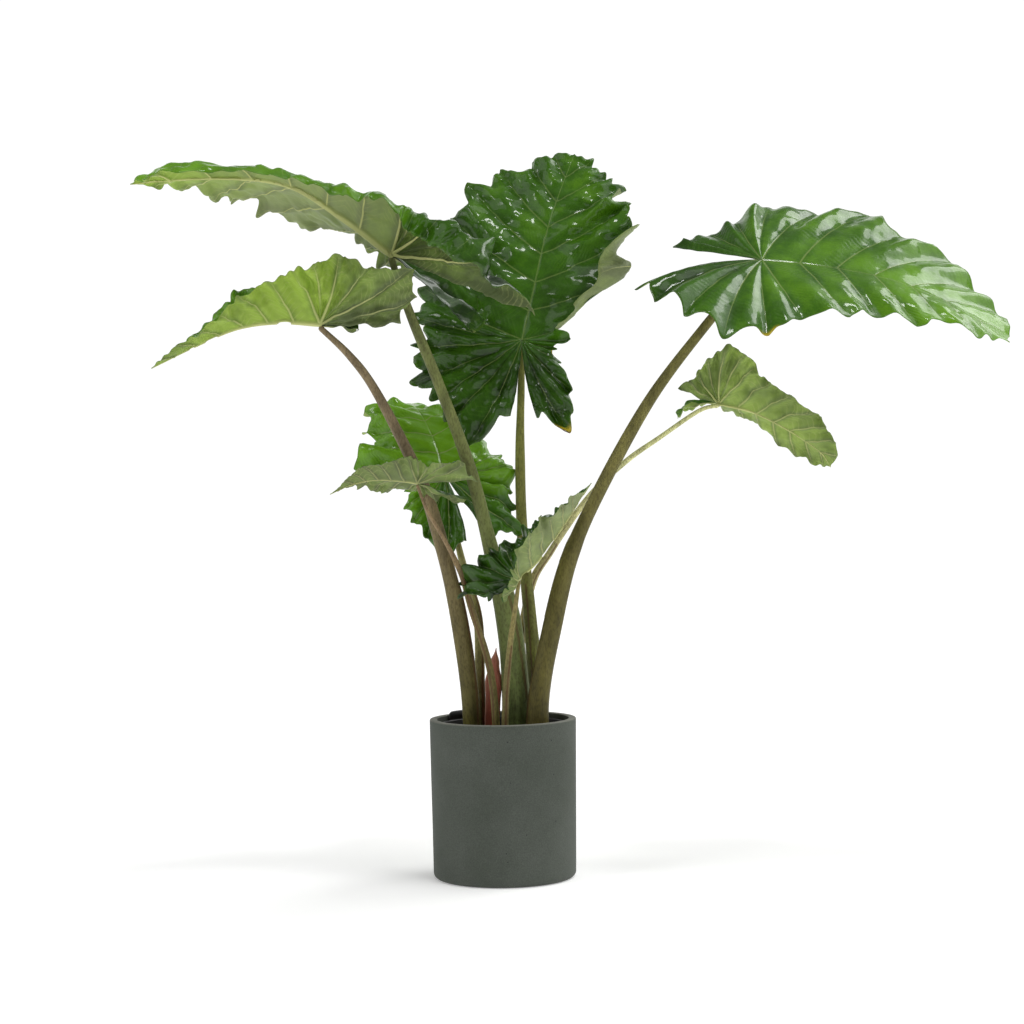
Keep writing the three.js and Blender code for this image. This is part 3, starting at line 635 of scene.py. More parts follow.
def stalk_surface(stalk):
    """Rings round a line. A ring is a circle in the plane across the line, its radius read along the
    stalk and its edge lightly fluted. The sheath adds a thickness that is greatest at its edge and
    falls to nothing once round, and the top closes in a half ball."""
    share = np.linspace(0, 1, STALK_RINGS + 1)
    last_point = len(stalk["line"]) - 1
    gone = length_so_far(line_through(stalk["line"], share * last_point))
    room_for_cap = CAP_ROOM * between(stalk["radii"], share)[-1]
    share = np.interp(np.linspace(0, gone[-1] - room_for_cap, STALK_RINGS + 1), gone, share)
    centre = line_through(stalk["line"], share * last_point)
    radius = between(stalk["radii"], share)
    along, across, depth = ways_round(centre)
    cap = np.radians(np.linspace(0, 90, CAP_RINGS + 1)[1:])
    centre = np.vstack([centre, centre[-1] + radius[-1] * np.sin(cap)[:, None] * along[-1]])
    radius = np.r_[radius, radius[-1] * np.cos(cap) + CAP_END]
    across, depth = (np.vstack([v, np.repeat(v[-1:], CAP_RINGS, 0)]) for v in (across, depth))
    share = np.r_[share, np.ones(CAP_RINGS)]

    angle = np.linspace(0, 2 * np.pi, STALK_SIDES, endpoint=False)
    up_sheath = share / stalk["sheath_end"]
    edge = np.radians(between(stalk["sheath_edge"], up_sheath))
    past_edge = ((angle[None] - edge[:, None]) % (2 * np.pi)) / (2 * np.pi)
    sheath_left = np.clip((stalk["sheath_end"] - share) / SHEATH_STOPS, 0, 1)
    sheath_left = (sheath_left * (LIFT_AT_FOOT + LIFT_GAIN * share / stalk["sheath_end"]))[:, None]
    lift = stalk["sheath_lift"] * sheath_left * (1 - past_edge) ** LIFT_POWER
    fluting = sum(deep * np.cos(number * angle + wind * share[:, None]) for deep, number, wind in FLUTES)
    out = radius[:, None] * (1 + fluting) + lift
    points, faces = tube(centre, across, depth, out * np.cos(angle), out * np.sin(angle))
    from_edge = np.minimum(past_edge, 1 - past_edge) * 2 * np.pi * out
    shares = {
        "share_up": np.repeat(share, STALK_SIDES),
        "sheath_brown": (np.exp(-(from_edge / BROWN_WIDTH) ** 2) * (sheath_left > 0)).ravel(),
        "round_x": np.tile(np.cos(angle), len(share)),
        "round_y": np.tile(np.sin(angle), len(share)),
    }
    return points, faces, shares


def stalk_finish(name, foot, top):
    """Olive skin from the foot's colour to the top's, with patches and fine flecks drawn out along
    the stalk, a brown sheath edge, and fibres that run up its round."""
    finish, tree, shader = new_finish(name, roughness=0.5, specular_ior_level=0.2)
    up = attribute(tree, "share_up")
    base = ramp(tree, up, (0.05, colour(foot)), (0.6, colour(top)))
    stretch = {"Vector": object_place(tree), "Scale": SKIN_STRETCH}
    place = add_node(tree, "Mapping", stretch).outputs[0]
    patches = noise(tree, place, scale=38, detail=4, roughness=0.6)
    patch_tone = ranged(tree, patches, start=0.3, end=0.7, low=0.62, high=1.3)
    patched = blended(tree, 1.0, base, patch_tone, "MULTIPLY")
    flecks = noise(tree, place, scale=330)
    fleck_part = ranged(tree, flecks, start=0.47, end=0.64, high=0.36)
    flecked = blended(tree, fleck_part, patched, colour(FLECK))
    brown_part = count(tree, "MULTIPLY", attribute(tree, "sheath_brown"), BROWN_PART)
    edged = blended(tree, brown_part, flecked, colour(EDGE_BROWN))
    round_about = {0: attribute(tree, "round_x"), 1: attribute(tree, "round_y"), 2: up}
    round_place = add_node(tree, "CombineXYZ", round_about).outputs[0]
    fibres = noise(tree, round_place, scale=9, detail=5, roughness=0.65)
    fibrous = relief(tree, fibres, strength=0.35, depth=0.0012)
    cover(tree, shader, edged, relief(tree, flecks, strength=0.12, depth=0.0006, over=fibrous))
    return finish


for name, stalk in STALKS.items():
    points, faces, shares = stalk_surface(stalk)
    piece = make_piece(f"stalk_{name}", points, faces,
                       [stalk_finish(f"stalk_skin_{name}", stalk["foot"], stalk["top"])], shares=shares)
    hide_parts(f"stem_{name}")


# The bud sheath: one narrow flattened sheath, thin as paper, that stands among the stalks and will let
# out the next leaf. It runs from pinkish red along its edges and at the top to maroon low down and
# between the edges: partly its own colour and partly painted shade where it is folded and shaded.
SHEATH_LINE = [[-28, 5, 252], [-20, 5, 373], [-17, 6, 436], [-12, 8, 483]]
SHEATH_RADII = [10, 16, 18, 10, 1]
SHEATH_FLATNESS = 0.4
SHEATH_RINGS, SHEATH_SIDES = 90, 48
PLEATS, PLEAT_DEPTH, PLEAT_WIND = 6, 0.05, 9
# The section is an almond: both halves of the circle are drawn in towards the two edges.
AT_EDGES, TO_MIDDLE = 0.35, 0.65
EDGE_POWER = 5
STREAK_STRETCH = (1, 1, 0.12)
SHEATH_MAROON_AND_SHADE, SHEATH_PINK = "a5543d", "d39a84"

share = np.linspace(0, 1, SHEATH_RINGS + 1)
centre = line_through(SHEATH_LINE, share * (len(SHEATH_LINE) - 1))
along, across, depth = ways_round(centre)
angle = np.linspace(0, 2 * np.pi, SHEATH_SIDES, endpoint=False)
width = between(SHEATH_RADII, share)[:, None]
pleat = 1 + PLEAT_DEPTH * np.cos(PLEATS * angle + PLEAT_WIND * share[:, None])
almond = AT_EDGES + TO_MIDDLE * np.abs(np.sin(angle))
sheath_points, sheath_faces = tube(centre, across, depth, width * np.cos(angle) * pleat,
                                   SHEATH_FLATNESS * width * np.sin(angle) * almond * pleat)
sheath_shares = {"edge": np.tile(np.abs(np.cos(angle)) ** EDGE_POWER, len(share)),
                 "share_up": np.repeat(share, SHEATH_SIDES)}

papery, tree, shader = new_finish("bud_sheath_skin", roughness=0.55)
stretch = {"Vector": object_place(tree), "Scale": STREAK_STRETCH}
streaks = noise(tree, add_node(tree, "Mapping", stretch).outputs[0], scale=260, detail=4)
# Partly painted shade: maroon low down and away from the edges, pink towards the edges and the top.
up_and_edge = count(tree, "ADD", attribute(tree, "share_up"), attribute(tree, "edge"))
streaked = ramp(tree, count(tree, "MULTIPLY", streaks, up_and_edge),
                (0.18, colour(SHEATH_MAROON_AND_SHADE)), (0.75, colour(SHEATH_PINK)))
cover(tree, shader, streaked, relief(tree, streaks, strength=0.4, depth=0.0008))

bud = make_piece("bud_sheath_skin", sheath_points, sheath_faces, [papery], shares=sheath_shares)
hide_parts("bud_sheath")


# The blades: eight arrow-shaped leaves. Each is a thin skin in two halves, stretched between veins that
# leave the midrib in front of the stalk and fan out of its end behind. It bulges between the veins.
TIP_ANGLE, HUB_ANGLE, LAST_ANGLE = 38, 75, 172
VEIN_BEND = 18
CURL_FROM, CURL_TO = 0.7, 0.85
# Depths and heights as parts of a vein's length: the notch in the margin between two veins, the bulge
# there, the margin's ruffle, the slow wave along it, and the teeth, small lobes and frill on it. For
# the heights no vein counts as longer than LONGEST_REACH of the midrib.
NOTCH, QUILT, RUFFLE, WAVE = 0.07, 0.065, 0.085, 0.05
TOOTH, LOBE, FRILL = 0.06, 0.03, 0.022
LOBE_PACES = (0.43, 0.79, 1.31, 2.1)
WAVE_VEINS = 3.7
UNEVENNESS = 0.5
# How late along a vein each of them grows, as the power of the share of its length.
NOTCH_POWER, MARGIN_POWER, QUILT_POWER, RUFFLE_POWER, WAVE_POWER = 2, 4, 3, 2.2, 1.5
RUFFLE_MIDDLE = 0.45
LONGEST_REACH = 0.45
# A tooth falls off from its vein as a power: BLUNT_TOOTH, and up to SHARP_TOOTH more if it is pointed.
BLUNT_TOOTH, SHARP_TOOTH = 1.5, 5
PUCKER, PUCKER_SIZES, PUCKER_WAVES, PUCKER_SPREAD = 0.05, (24, 52), 14, (0.6, 1.7)
SMOOTH_VEIN = 80
WAVE_DRAW, TOOTH_DRAW, FRILL_DRAW = 99, 0.5, 50
DRAW_PACE, DRAW_SEED, DRAW_SIZE = 12.9898, 78.233, 43758.5453
MIDRIB_POINTS = 801
COLUMNS_PER_VEIN, COLUMN_CROWDING = 20, 0.08
BLADE_ROWS, ROW_POWER = 44, 1.5
SKIN_MIDDLE, SKIN_MARGIN = 1.4, 0.7
# A rib's thickness: how much of the midrib's is gone at the tip, a side vein's beside the midrib's,
# and the least there is. Ridges, grooves and the pale stripe are so many times as wide and high.
MIDRIB_TAPER, SIDE_RIB, SIDE_TAPER, LEAST_RIB = 0.8, 0.42, 0.7, 0.35
MIDRIB_WIDE, MIDRIB_HIGH = 1.25, 0.85
VEIN_WIDE, VEIN_HIGH = 1.8, 0.9
MIDRIB_GROOVE_WIDE, MIDRIB_GROOVE_DEEP = 0.9, 0.25
VEIN_GROOVE_WIDE, VEIN_GROOVE_DEEP = 1.1, 0.5
PALE_WIDE = 0.7
BRANCH_START, BRANCH_GROWTH = 0.3, 0.25
VEIN_END_POWER = 6
SIDE_VEIN_SLANT = 0.75
SIDE_VEIN_SPACING, SIDE_VEIN_WARP = 0.0115, 5.0
SURFACE_VEINS = 10
VEIN_AT_MIDRIB, VEIN_AT_MARGIN = 0.0030, 0.0011
BLOOM_GREY, DRY_YELLOW, DRY_BROWN = "a7ad88", "b9a52c", "5a3b1c"
# A midrib is points from the stalk to the tip, and heading and roll turn the blade about it. A half's
# front veins run from the tip to the hub and its back veins on from there, each as a part of the
# midrib's length. Fold, droop and curl, in degrees, and the skin's tone and bloom run the same way. The
# tone is the leaf's own age together with painted shade where other leaves shade it and painted light
# where light shines through. Last is the hindmost vein's angle, rise tilts the back, and rib is the
# midrib's thickness at the hub. A dry spot is its side, its place among the veins, its width, how far
# it comes in, and how dry it is.
BLADES = {
    "right_high": dict(
        midrib=[[557, -40, 1292], [686, -45, 1277], [832, -55, 1243], [958, -70, 1186],
                [1064, -85, 1110]],
        heading=[-2, -6, -10], roll=[-28, -26, -10], seed=3, quilt=0.45, rib=6,
        age=[1.0, 0.6, 0.28], bloom=[0.2, 0.2], veins=1.3,
        ragged=0.6, crumple=0.45,
        dry=[(1, 8.0, 0.25, 0.05, 0.5)],
        right=dict(front=[0.11, 0.22, 0.225, 0.31, 0.31, 0.38, 0.4], back=[0.46, 0.53, 0.52, 0.5, 0.54],
                   fold=[0, 0, 0], droop=[-18, -22, -15]),
        left=dict(front=[0.16, 0.3, 0.38, 0.47, 0.45, 0.6, 0.56], back=[0.49, 0.39, 0.36, 0.39, 0.36],
                  fold=[8, 12, 0], droop=[-10, -12, -10])),
    "left_high": dict(
        midrib=[[-218, -90, 1308], [-311, -100, 1380], [-430, -125, 1451], [-583, -145, 1464],
                [-743, -165, 1452]],
        heading=[178, 186, 190], roll=[-12, -12, -6], seed=4, quilt=1.9, rib=9,
        age=[1.1, 0.75, 0.45, 0.1], bloom=[0.1, 0.9, 0.1, 0.2], veins=1.0,
        ragged=1.3, pointed=0.3, crumple=2.3,
        right=dict(front=[0.08, 0.15, 0.19, 0.27, 0.33, 0.36, 0.32], back=[0.3, 0.33, 0.42, 0.47, 0.42],
                   fold=[0, -2, -6, -8, 12, 15, 20, 28, 28], droop=[-10, -10, -10], last=182),
        left=dict(front=[0.17, 0.25, 0.19, 0.16, 0.2, 0.28, 0.32], back=[0.32, 0.4, 0.52, 0.53, 0.58],
                  fold=[45, 40, 45, 70, 68, 50, 42, 35, 25],
                  droop=[-60, -75, -105, -125, -100, -50, -30, -20, 0],
                  curl=[0, 0, 0, 0, 0, -90, -130, -70, 0], last=160)),
    "left_middle": dict(
        midrib=[[-367, -95, 1167], [-449, -99, 1172], [-535, -107, 1160], [-622, -120, 1123],
                [-711, -135, 1078]],
        heading=[182, 186, 190], roll=[0, 0, 0], seed=5, quilt=1.6, rib=7,
        age=[0.8, 1.0, 0.1], bloom=[0.2, 0.1, 0.3], veins=0.6, ragged=0.9, crumple=2.3,
        right=dict(front=[0.09, 0.13, 0.17, 0.215, 0.31, 0.36, 0.38], back=[0.42, 0.4, 0.36, 0.28, 0.24],
                   fold=[15, 48, 50, 20, -10], droop=[0, 0, -10], last=172),
        left=dict(front=[0.1, 0.13, 0.16, 0.2, 0.26, 0.31, 0.38],
                  back=[0.43, 0.46, 0.48, 0.65, 0.6, 0.46], fold=[15, 54, 50], droop=[0, 0, 0],
                  last=185)),
    "back_high": dict(
        midrib=[[52, 60, 1139], [78, 100, 1247], [106, 150, 1367], [141, 205, 1474], [177, 260, 1566]],
        heading=[80, 80, 80], roll=[0, 0, 0], seed=6, quilt=1.5, rib=6,
        age=[0.6, 0.36, 0.2], bloom=[0.5, 0.5], veins=0.8, ragged=1.8, pointed=0.4, crumple=1.9,
        dry=[(1, 12.1, 0.2, 0.06, 1.0), (1, 9.6, 0.15, 0.04, 0.8)],
        right=dict(front=[0.155, 0.27, 0.4, 0.46, 0.5, 0.63, 0.24],
                   back=[0.21, 0.15, 0.19, 0.35, 0.48, 0.35], fold=[0, 0, 0],
                   droop=[-10, -10, -10, 30, 20, 0, 0, 0, -10],
                   curl=[0, 0, 0, 0, 0, 0, 150, 60, 0, 0, 0, 0, 0, 0, 0], last=168),
        left=dict(front=[0.165, 0.29, 0.42, 0.52, 0.54, 0.54, 0.6],
                  back=[0.5, 0.47, 0.515, 0.46, 0.48, 0.52, 0.36], fold=[0, 0, 0], droop=[-10, -10, -10],
                  last=190)),
    "right_low": dict(
        midrib=[[481, 150, 999], [560, 155, 979], [644, 165, 934], [704, 175, 892], [729, 185, 858]],
        heading=[12, 8, 5], roll=[50, 50, 40], seed=7, quilt=2.0, rib=4,
        age=[0.75, 0.7, 0.6], bloom=[0.3, 0.3], veins=0.6, ragged=0.4, crumple=2.4,
        right=dict(front=[0.13, 0.23, 0.28, 0.35, 0.3, 0.33, 0.45],
                   back=[0.5, 0.52, 0.42, 0.34, 0.31, 0.34], fold=[0, 0, 0], droop=[0, 0, 0], last=178),
        left=dict(front=[0.14, 0.2, 0.22, 0.22, 0.19, 0.26, 0.26], back=[0.36, 0.38, 0.36, 0.38, 0.34],
                  fold=[0, 0, 50, 58, 50], droop=[0, 0, 0, -20, -60])),
    "left_low_back": dict(
        midrib=[[-119, 60, 854], [-137, 115, 917], [-163, 180, 972], [-185, 250, 1004],
                [-200, 330, 1016], [-208, 400, 1000]],
        heading=[98, 98, 98], roll=[0, 0, 0], rise=-20, seed=8, quilt=1.7, rib=5,
        age=[1.1, 1.0, 0.45], bloom=[0.3, 0.3], veins=1.9, ragged=1.1, pointed=0.3, crumple=2.0,
        right=dict(front=[0.1, 0.16, 0.2, 0.25, 0.3, 0.34, 0.375], back=[0.38, 0.4, 0.42, 0.48, 0.42],
                   fold=[0, 0, 0], droop=[-20, -20, -20], last=158),
        left=dict(front=[0.1, 0.2, 0.28, 0.36, 0.4, 0.39, 0.49],
                  back=[0.31, 0.22, 0.27, 0.31, 0.36, 0.47, 0.37], fold=[0, 0, 0], droop=[-20, -20, -20],
                  last=200)),
    "left_low_front": dict(
        midrib=[[-169, -120, 835], [-214, -122, 841], [-261, -127, 842], [-306, -135, 832],
                [-347, -145, 814]],
        heading=[182, 186, 188], roll=[-20, -20, -10], seed=9, quilt=1.6, rib=3,
        age=[0.45, 0.35, 0.3], bloom=[0.4, 0.4], veins=0.4, ragged=0.6, crumple=2.4,
        right=dict(front=[0.05, 0.09, 0.14, 0.36, 0.36, 0.45, 0.42], back=[0.26, 0.3, 0.42, 0.6, 0.66],
                   fold=[0, 8, 5, 0, -8], droop=[-10, -10, -10]),
        left=dict(front=[0.06, 0.13, 0.215, 0.29, 0.3, 0.3, 0.37], back=[0.35, 0.34, 0.53, 0.6, 0.68],
                  fold=[20, 25, 20], droop=[0, 0, 0])),
    "front_low": dict(
        midrib=[[38, -120, 634], [80, -112, 674], [122, -102, 729], [158, -92, 782], [191, -82, 830]],
        heading=[15, 15, 15], roll=[0, 0, 0], seed=10, quilt=1.8, rib=4,
        age=[0.5, 0.3, 0.15], bloom=[0.9, 0.6, 0.3], veins=0.6, ragged=2.4, pointed=0.4, crumple=3.2,
        right=dict(front=[0.08, 0.14, 0.2, 0.26, 0.3, 0.32, 0.24], back=[0.18, 0.17, 0.22, 0.27, 0.24],
                   fold=[30, 60, 60, 20, -10], droop=[0, 0, 0]),
        left=dict(front=[0.08, 0.13, 0.2, 0.27, 0.32, 0.36, 0.4], back=[0.4, 0.47, 0.54, 0.5, 0.3],
                  fold=[25, 45, 30], droop=[0, 0, 0])),
}


def turned_by(angle, first, second):
    """Two square directions, both turned by an angle in their own plane."""
    c, s = np.cos(angle)[..., None], np.sin(angle)[..., None]
    return c * first + s * second, c * second - s * first


def square_to(vector, axis):
    """The part of a direction that is square to an axis, with length 1."""
    return unit(vector - (vector * axis).sum(-1, keepdims=True) * axis)


def smooth_step(x):
    """From 0 to 1 by x * x * (3 - 2x), and still before and after."""
    x = np.clip(x, 0, 1)
    return x * x * (3 - 2 * x)


def midrib_at(blade, share):
    """At a share of the midrib's length from the hub: the point, the ways forward, right and up, and
    the whole length. Right is level and square to the midrib, then turned about it by the roll."""
    fine = line_through(blade["midrib"], np.linspace(0, len(blade["midrib"]) - 1, MIDRIB_POINTS))
    gone = length_so_far(fine)
    slope = np.gradient(fine, axis=0)
    point, forward = (np.stack([np.interp(share * gone[-1], gone, v) for v in line.T], -1)
                      for line in (fine, slope))
    forward = unit(forward)
    bearing = np.radians(between(blade["heading"], share))
    level = square_to(np.stack([np.sin(bearing), -np.cos(bearing), 0 * bearing], -1), forward)
    right, up = turned_by(np.radians(between(blade["roll"], share)), level, np.cross(level, forward))
    return point, forward, right, up, gone[-1]


def draw(interval, seed):
    """A repeatable draw between -1 and 1 for an interval between veins: the fraction of a large sine."""
    x = np.sin(DRAW_PACE * interval + DRAW_SEED * seed) * DRAW_SIZE
    return 2 * (x - np.floor(x)) - 1


def rough_at(points, size, seed):
    """A smooth random height between about -1 and 1 at points in space: a sum of sine waves with drawn
    directions, starts and lengths near size, divided by the root of their number."""
    draws = np.random.default_rng(seed)
    ways = unit(draws.normal(size=(PUCKER_WAVES, 3))) * 2 * np.pi
    ways = ways / (size * draws.uniform(*PUCKER_SPREAD, (PUCKER_WAVES, 1)))
    starts = draws.uniform(0, 2 * np.pi, PUCKER_WAVES)
    return np.sin(points @ ways.T + starts).sum(-1) / np.sqrt(PUCKER_WAVES)


def lobes_at(q, seed):
    """Small uneven lobes along the margin, between about -1 and 1: four waves of the place among the
    veins, each with a drawn start, divided by the root of their number."""
    starts = np.random.default_rng(seed).uniform(0, 2 * np.pi, len(LOBE_PACES))
    waves = [np.sin(2 * np.pi * pace * q + start) for pace, start in zip(LOBE_PACES, starts)]
    return np.sum(waves, 0)[:, None] / len(LOBE_PACES) ** 0.5


def vein_fan(blade, which, q, t):
    """The plain fan of one half's veins, at places q among them and shares t of their length. A vein
    leaves the midrib at its angle, in a plane lifted by the fold. It bends forward, and down by the
    droop, and its end is rolled up by the curl. It gives where each vein starts, its points, the way
    up from the skin at each, its length and angle, the midrib's length and each place's share of
    the way round the half."""
    half = blade["right" if which > 0 else "left"]
    front, back = len(half["front"]), len(half["back"])
    behind = np.maximum(q - front, 0) / back
    station = np.where(q <= front, q / front / 2, 0.5 + behind / 2)
    root, forward, right, up, midrib_length = midrib_at(blade, np.maximum(1 - q / front, 0))
    length = line_through([0] + half["front"] + half["back"], q, free_ends=False) * midrib_length
    vein_angle = np.where(q <= front, TIP_ANGLE + (HUB_ANGLE - TIP_ANGLE) * q / front,
                          HUB_ANGLE + (half.get("last", LAST_ANGLE) - HUB_ANGLE) * behind)
    side, normal = turned_by(np.radians(between(half["fold"], station)), right * which, up)
    backward, back_up = turned_by(np.radians(np.full(len(q), blade.get("rise", 0.0))), -forward, up)
    back_normal = normal + back_up - up
    droop = between(half["droop"], station)[:, None]
    curl = between(half.get("curl", [0, 0]), station)[:, None]

    def way_at(shares):
        """The way that each vein runs at those shares of its length, and the way up from the skin."""
        angle = np.radians(vein_angle[:, None] - VEIN_BEND * shares[None])
        ahead = np.cos(angle)[..., None]
        base = np.where(ahead >= 0, forward[:, None], backward[:, None])
        way = unit(base * np.abs(ahead) + side[:, None] * np.sin(angle)[..., None])
        behind_part = np.maximum(-ahead, 0)
        face = square_to(normal[:, None] * (1 - behind_part) + back_normal[:, None] * behind_part, way)
        rolled = smooth_step((shares - CURL_FROM) / (CURL_TO - CURL_FROM))
        return turned_by(np.radians(droop * shares[None] + curl * rolled[None]), way, face)

    steps = way_at((t[1:] + t[:-1]) / 2)[0] * np.diff(t)[None, :, None] * length[:, None, None]
    root = root[:, None]
    points = root + np.concatenate([0 * steps[:, :1], np.cumsum(steps, 1)], 1)
    upward = way_at(t)[1]
    return root, points, upward, length[:, None], vein_angle[:, None], midrib_length, station


def half_blade(blade, which, q, t):
    """One half's middle surface: the fan of veins, pulled in and out at the margin by notches, teeth
    and lobes, and lifted along the way up by bulges, ruffle, wave, frill and puckers. Each is a
    height times a wave across the veins times a power of the share along them."""
    root, points, upward, length, vein_angle, midrib_length, station = vein_fan(blade, which, q, t)
    seed = 2 * blade["seed"] + (0 if which > 0 else 1)
    interval = np.floor(q)
    part = q - interval
    bulge = np.sin(np.pi * part)[:, None] ** 2
    hollow = 0.5 * bulge + 0.5 * np.abs(np.sin(np.pi * part))[:, None]
    late = smooth_step(3 * part - 2)
    uneven = draw(interval, seed) * (1 - late) + draw(interval + 1, seed) * late
    uneven = (1 + UNEVENNESS * uneven)[:, None]
    wave_start = np.pi * (1 + draw(WAVE_DRAW, seed))
    shares = t[None]
    pointed = blade.get("pointed", 0)
    tooth = draw(np.round(q), seed + TOOTH_DRAW)[:, None]
    tooth = (tooth + pointed * (1 - tooth)) * (1 - bulge) ** (BLUNT_TOOTH + SHARP_TOOTH * pointed)
    edge = blade["ragged"] * (TOOTH * tooth + LOBE * lobes_at(q, seed))
    pulled = 1 - NOTCH * hollow * uneven * shares ** NOTCH_POWER + edge * shares ** MARGIN_POWER
    height = (QUILT * blade["quilt"] * bulge * uneven * shares * (1 - shares ** QUILT_POWER)
              + RUFFLE * (bulge - RUFFLE_MIDDLE) * uneven * shares ** RUFFLE_POWER
              + WAVE * shares ** WAVE_POWER * np.sin(2 * np.pi * q / WAVE_VEINS + wave_start)[:, None]
              + FRILL * blade["crumple"] * lobes_at(q, seed + FRILL_DRAW) * shares ** MARGIN_POWER)
    reach = np.minimum(length, LONGEST_REACH * midrib_length)[..., None]
    points = root + (points - root) * pulled[..., None] + upward * reach * height[..., None]
    pucker = sum(size * PUCKER * rough_at(points, size, blade["seed"]) for size in PUCKER_SIZES)
    pucker = blade["crumple"] * pucker * np.sqrt(shares) * np.minimum(length / SMOOTH_VEIN, 1)
    return points + upward * pucker[..., None], length, vein_angle, station


def ridge(distance, width):
    """A rounded ridge: half a wave of a cosine, 1 in its middle and 0 from its width on."""
    return 0.5 + 0.5 * np.cos(np.pi * np.minimum(distance / width, 1))


def skin_shares(blade, which, q, t, points, length, vein_angle, station):
    """At each point of one half: how far the two faces stand from the middle surface, over and under
    it, with a rib under every vein and a shallow groove over it, and all that the finish reads."""
    half = blade["right" if which > 0 else "left"]
    front = len(half["front"])
    t, q = t[None], q[:, None]
    away = t * length
    spacing = np.linalg.norm(np.gradient(points, q[:, 0], axis=0), axis=-1)
    nearest = np.round(q)
    from_vein = np.abs(q - nearest) * spacing
    from_midrib = away * np.where(q <= front, np.sin(np.radians(vein_angle)), 1)
    real_vein = (nearest > 0) & (nearest < q[-1])
    # Behind the stalk every second vein is only a branch, and starts some way out.
    branch = ((nearest > front) & ((nearest - front) % 2 == 1)).astype(float)
    grown = np.clip((t - BRANCH_START * branch) / BRANCH_GROWTH, 0, 1)
    strength = real_vein * (1 - t ** VEIN_END_POWER) * (1 - branch * (1 - grown))
    thick = blade["rib"] * (1 - MIDRIB_TAPER * np.maximum(1 - q / front, 0))
    thin = blade["rib"] * SIDE_RIB * (1 - t) ** SIDE_TAPER + LEAST_RIB
    rib = np.maximum(MIDRIB_HIGH * thick * ridge(from_midrib, MIDRIB_WIDE * thick),
                     VEIN_HIGH * thin * (ridge(from_vein, VEIN_WIDE * thin) * strength))
    groove = np.maximum(MIDRIB_GROOVE_DEEP * thick * ridge(from_midrib, MIDRIB_GROOVE_WIDE * thick),
                        VEIN_GROOVE_DEEP * ridge(from_vein, VEIN_GROOVE_WIDE * thin) * strength)
    skin = SKIN_MIDDLE + (SKIN_MARGIN - SKIN_MIDDLE) * t
    dry = np.zeros(away.shape)
    for side_of_spot, spot, width, depth, amount in blade.get("dry", []):
        if side_of_spot == which:
            near_spot = np.exp(-((q - spot) / width) ** 2)
            dry = np.maximum(dry, amount * near_spot * np.clip(1 - (1 - t) / depth, 0, 1))
    shares = {
        "over": skin / 2 - groove,
        "under": skin / 2 + rib,
        "midrib": np.exp(-(from_midrib / (PALE_WIDE * thick)) ** 2),
        "lateral": (away - SIDE_VEIN_SLANT * from_vein) * MM,
        "outward": t,
        # The skin's tone along the blade: its own age, with painted shade and painted light in it.
        "age": between(blade["age"], station)[:, None],
        "bloom": between(blade["bloom"], station)[:, None],
        "dry": dry,
        "vein_place": q,
        "vein_spacing": spacing * MM,
        "vein_strength": strength * blade["veins"],
    }
    return {key: np.broadcast_to(value, away.shape).ravel() for key, value in shares.items()}


def blade_surface(blade):
    """A closed skin: the middle surface of both halves, moved along its own normals to each side by
    what stands over and under it, and a strip round the rim. The halves share the midrib's points."""
    step = np.arange(COLUMNS_PER_VEIN) / COLUMNS_PER_VEIN
    step = step - COLUMN_CROWDING * np.sin(2 * np.pi * step)
    t = (np.arange(BLADE_ROWS + 1) / BLADE_ROWS) ** ROW_POWER
    points, tables, shares = [], [], []
    for which in (1, -1):
        half = blade["right" if which > 0 else "left"]
        veins = len(half["front"]) + len(half["back"])
        q = np.r_[(np.arange(veins)[:, None] + step).ravel(), veins]
        grid, length, vein_angle, station = half_blade(blade, which, q, t)
        table = sum(map(len, points)) + np.arange(len(q) * len(t)).reshape(len(q), len(t))
        hub = len(half["front"]) * COLUMNS_PER_VEIN
        if which > 0:
            table[0] = table[0, 0]
            midrib_row = table[:hub + 1, 0]
        table[0] = midrib_row[0]
        table[:hub + 1, 0] = midrib_row
        table[hub:, 0] = midrib_row[-1]
        tables.append(table)
        points.append(grid.reshape(-1, 3))
        shares.append(skin_shares(blade, which, q, t, grid, length, vein_angle, station))

    points = np.concatenate(points)
    shares = {key: np.concatenate([part[key] for part in shares]) for key in shares[0]}
    right, left = tables
    faces = np.vstack([grid_faces(right), grid_faces(left, flip=True)])
    first, second, third = points[faces].transpose(1, 0, 2)
    area = np.cross(second - first, third - first)
    normal = np.zeros_like(points)
    for k in range(3):
        np.add.at(normal, faces[:, k], area)
    normal = normal / np.maximum(np.linalg.norm(normal, axis=1, keepdims=True), 1e-9)
    rim = np.r_[right[:, -1], right[-1, -2::-1], left[-1, 1:], left[-2:0:-1, -1]]
    ahead = np.roll(rim, -1)
    below = len(points)
    strip = np.vstack([np.stack([rim, ahead, ahead + below], -1),
                       np.stack([rim, ahead + below, rim + below], -1)])
    over, under = (shares.pop(key)[:, None] for key in ("over", "under"))
    both = np.vstack([points + normal * over, points - normal * under])
    all_faces = np.vstack([faces, faces[:, ::-1] + below, whole_faces(strip)])
    finish_of_face = np.zeros(len(all_faces))
    finish_of_face[len(faces):2 * len(faces)] = 1
    both, all_faces, used = compact(both, all_faces)
    shares = {key: np.tile(value, 2)[used] for key, value in shares.items()}
    uv = np.stack([shares["vein_place"] / SURFACE_VEINS, shares["outward"]], -1)
    return both, all_faces, finish_of_face, uv, shares


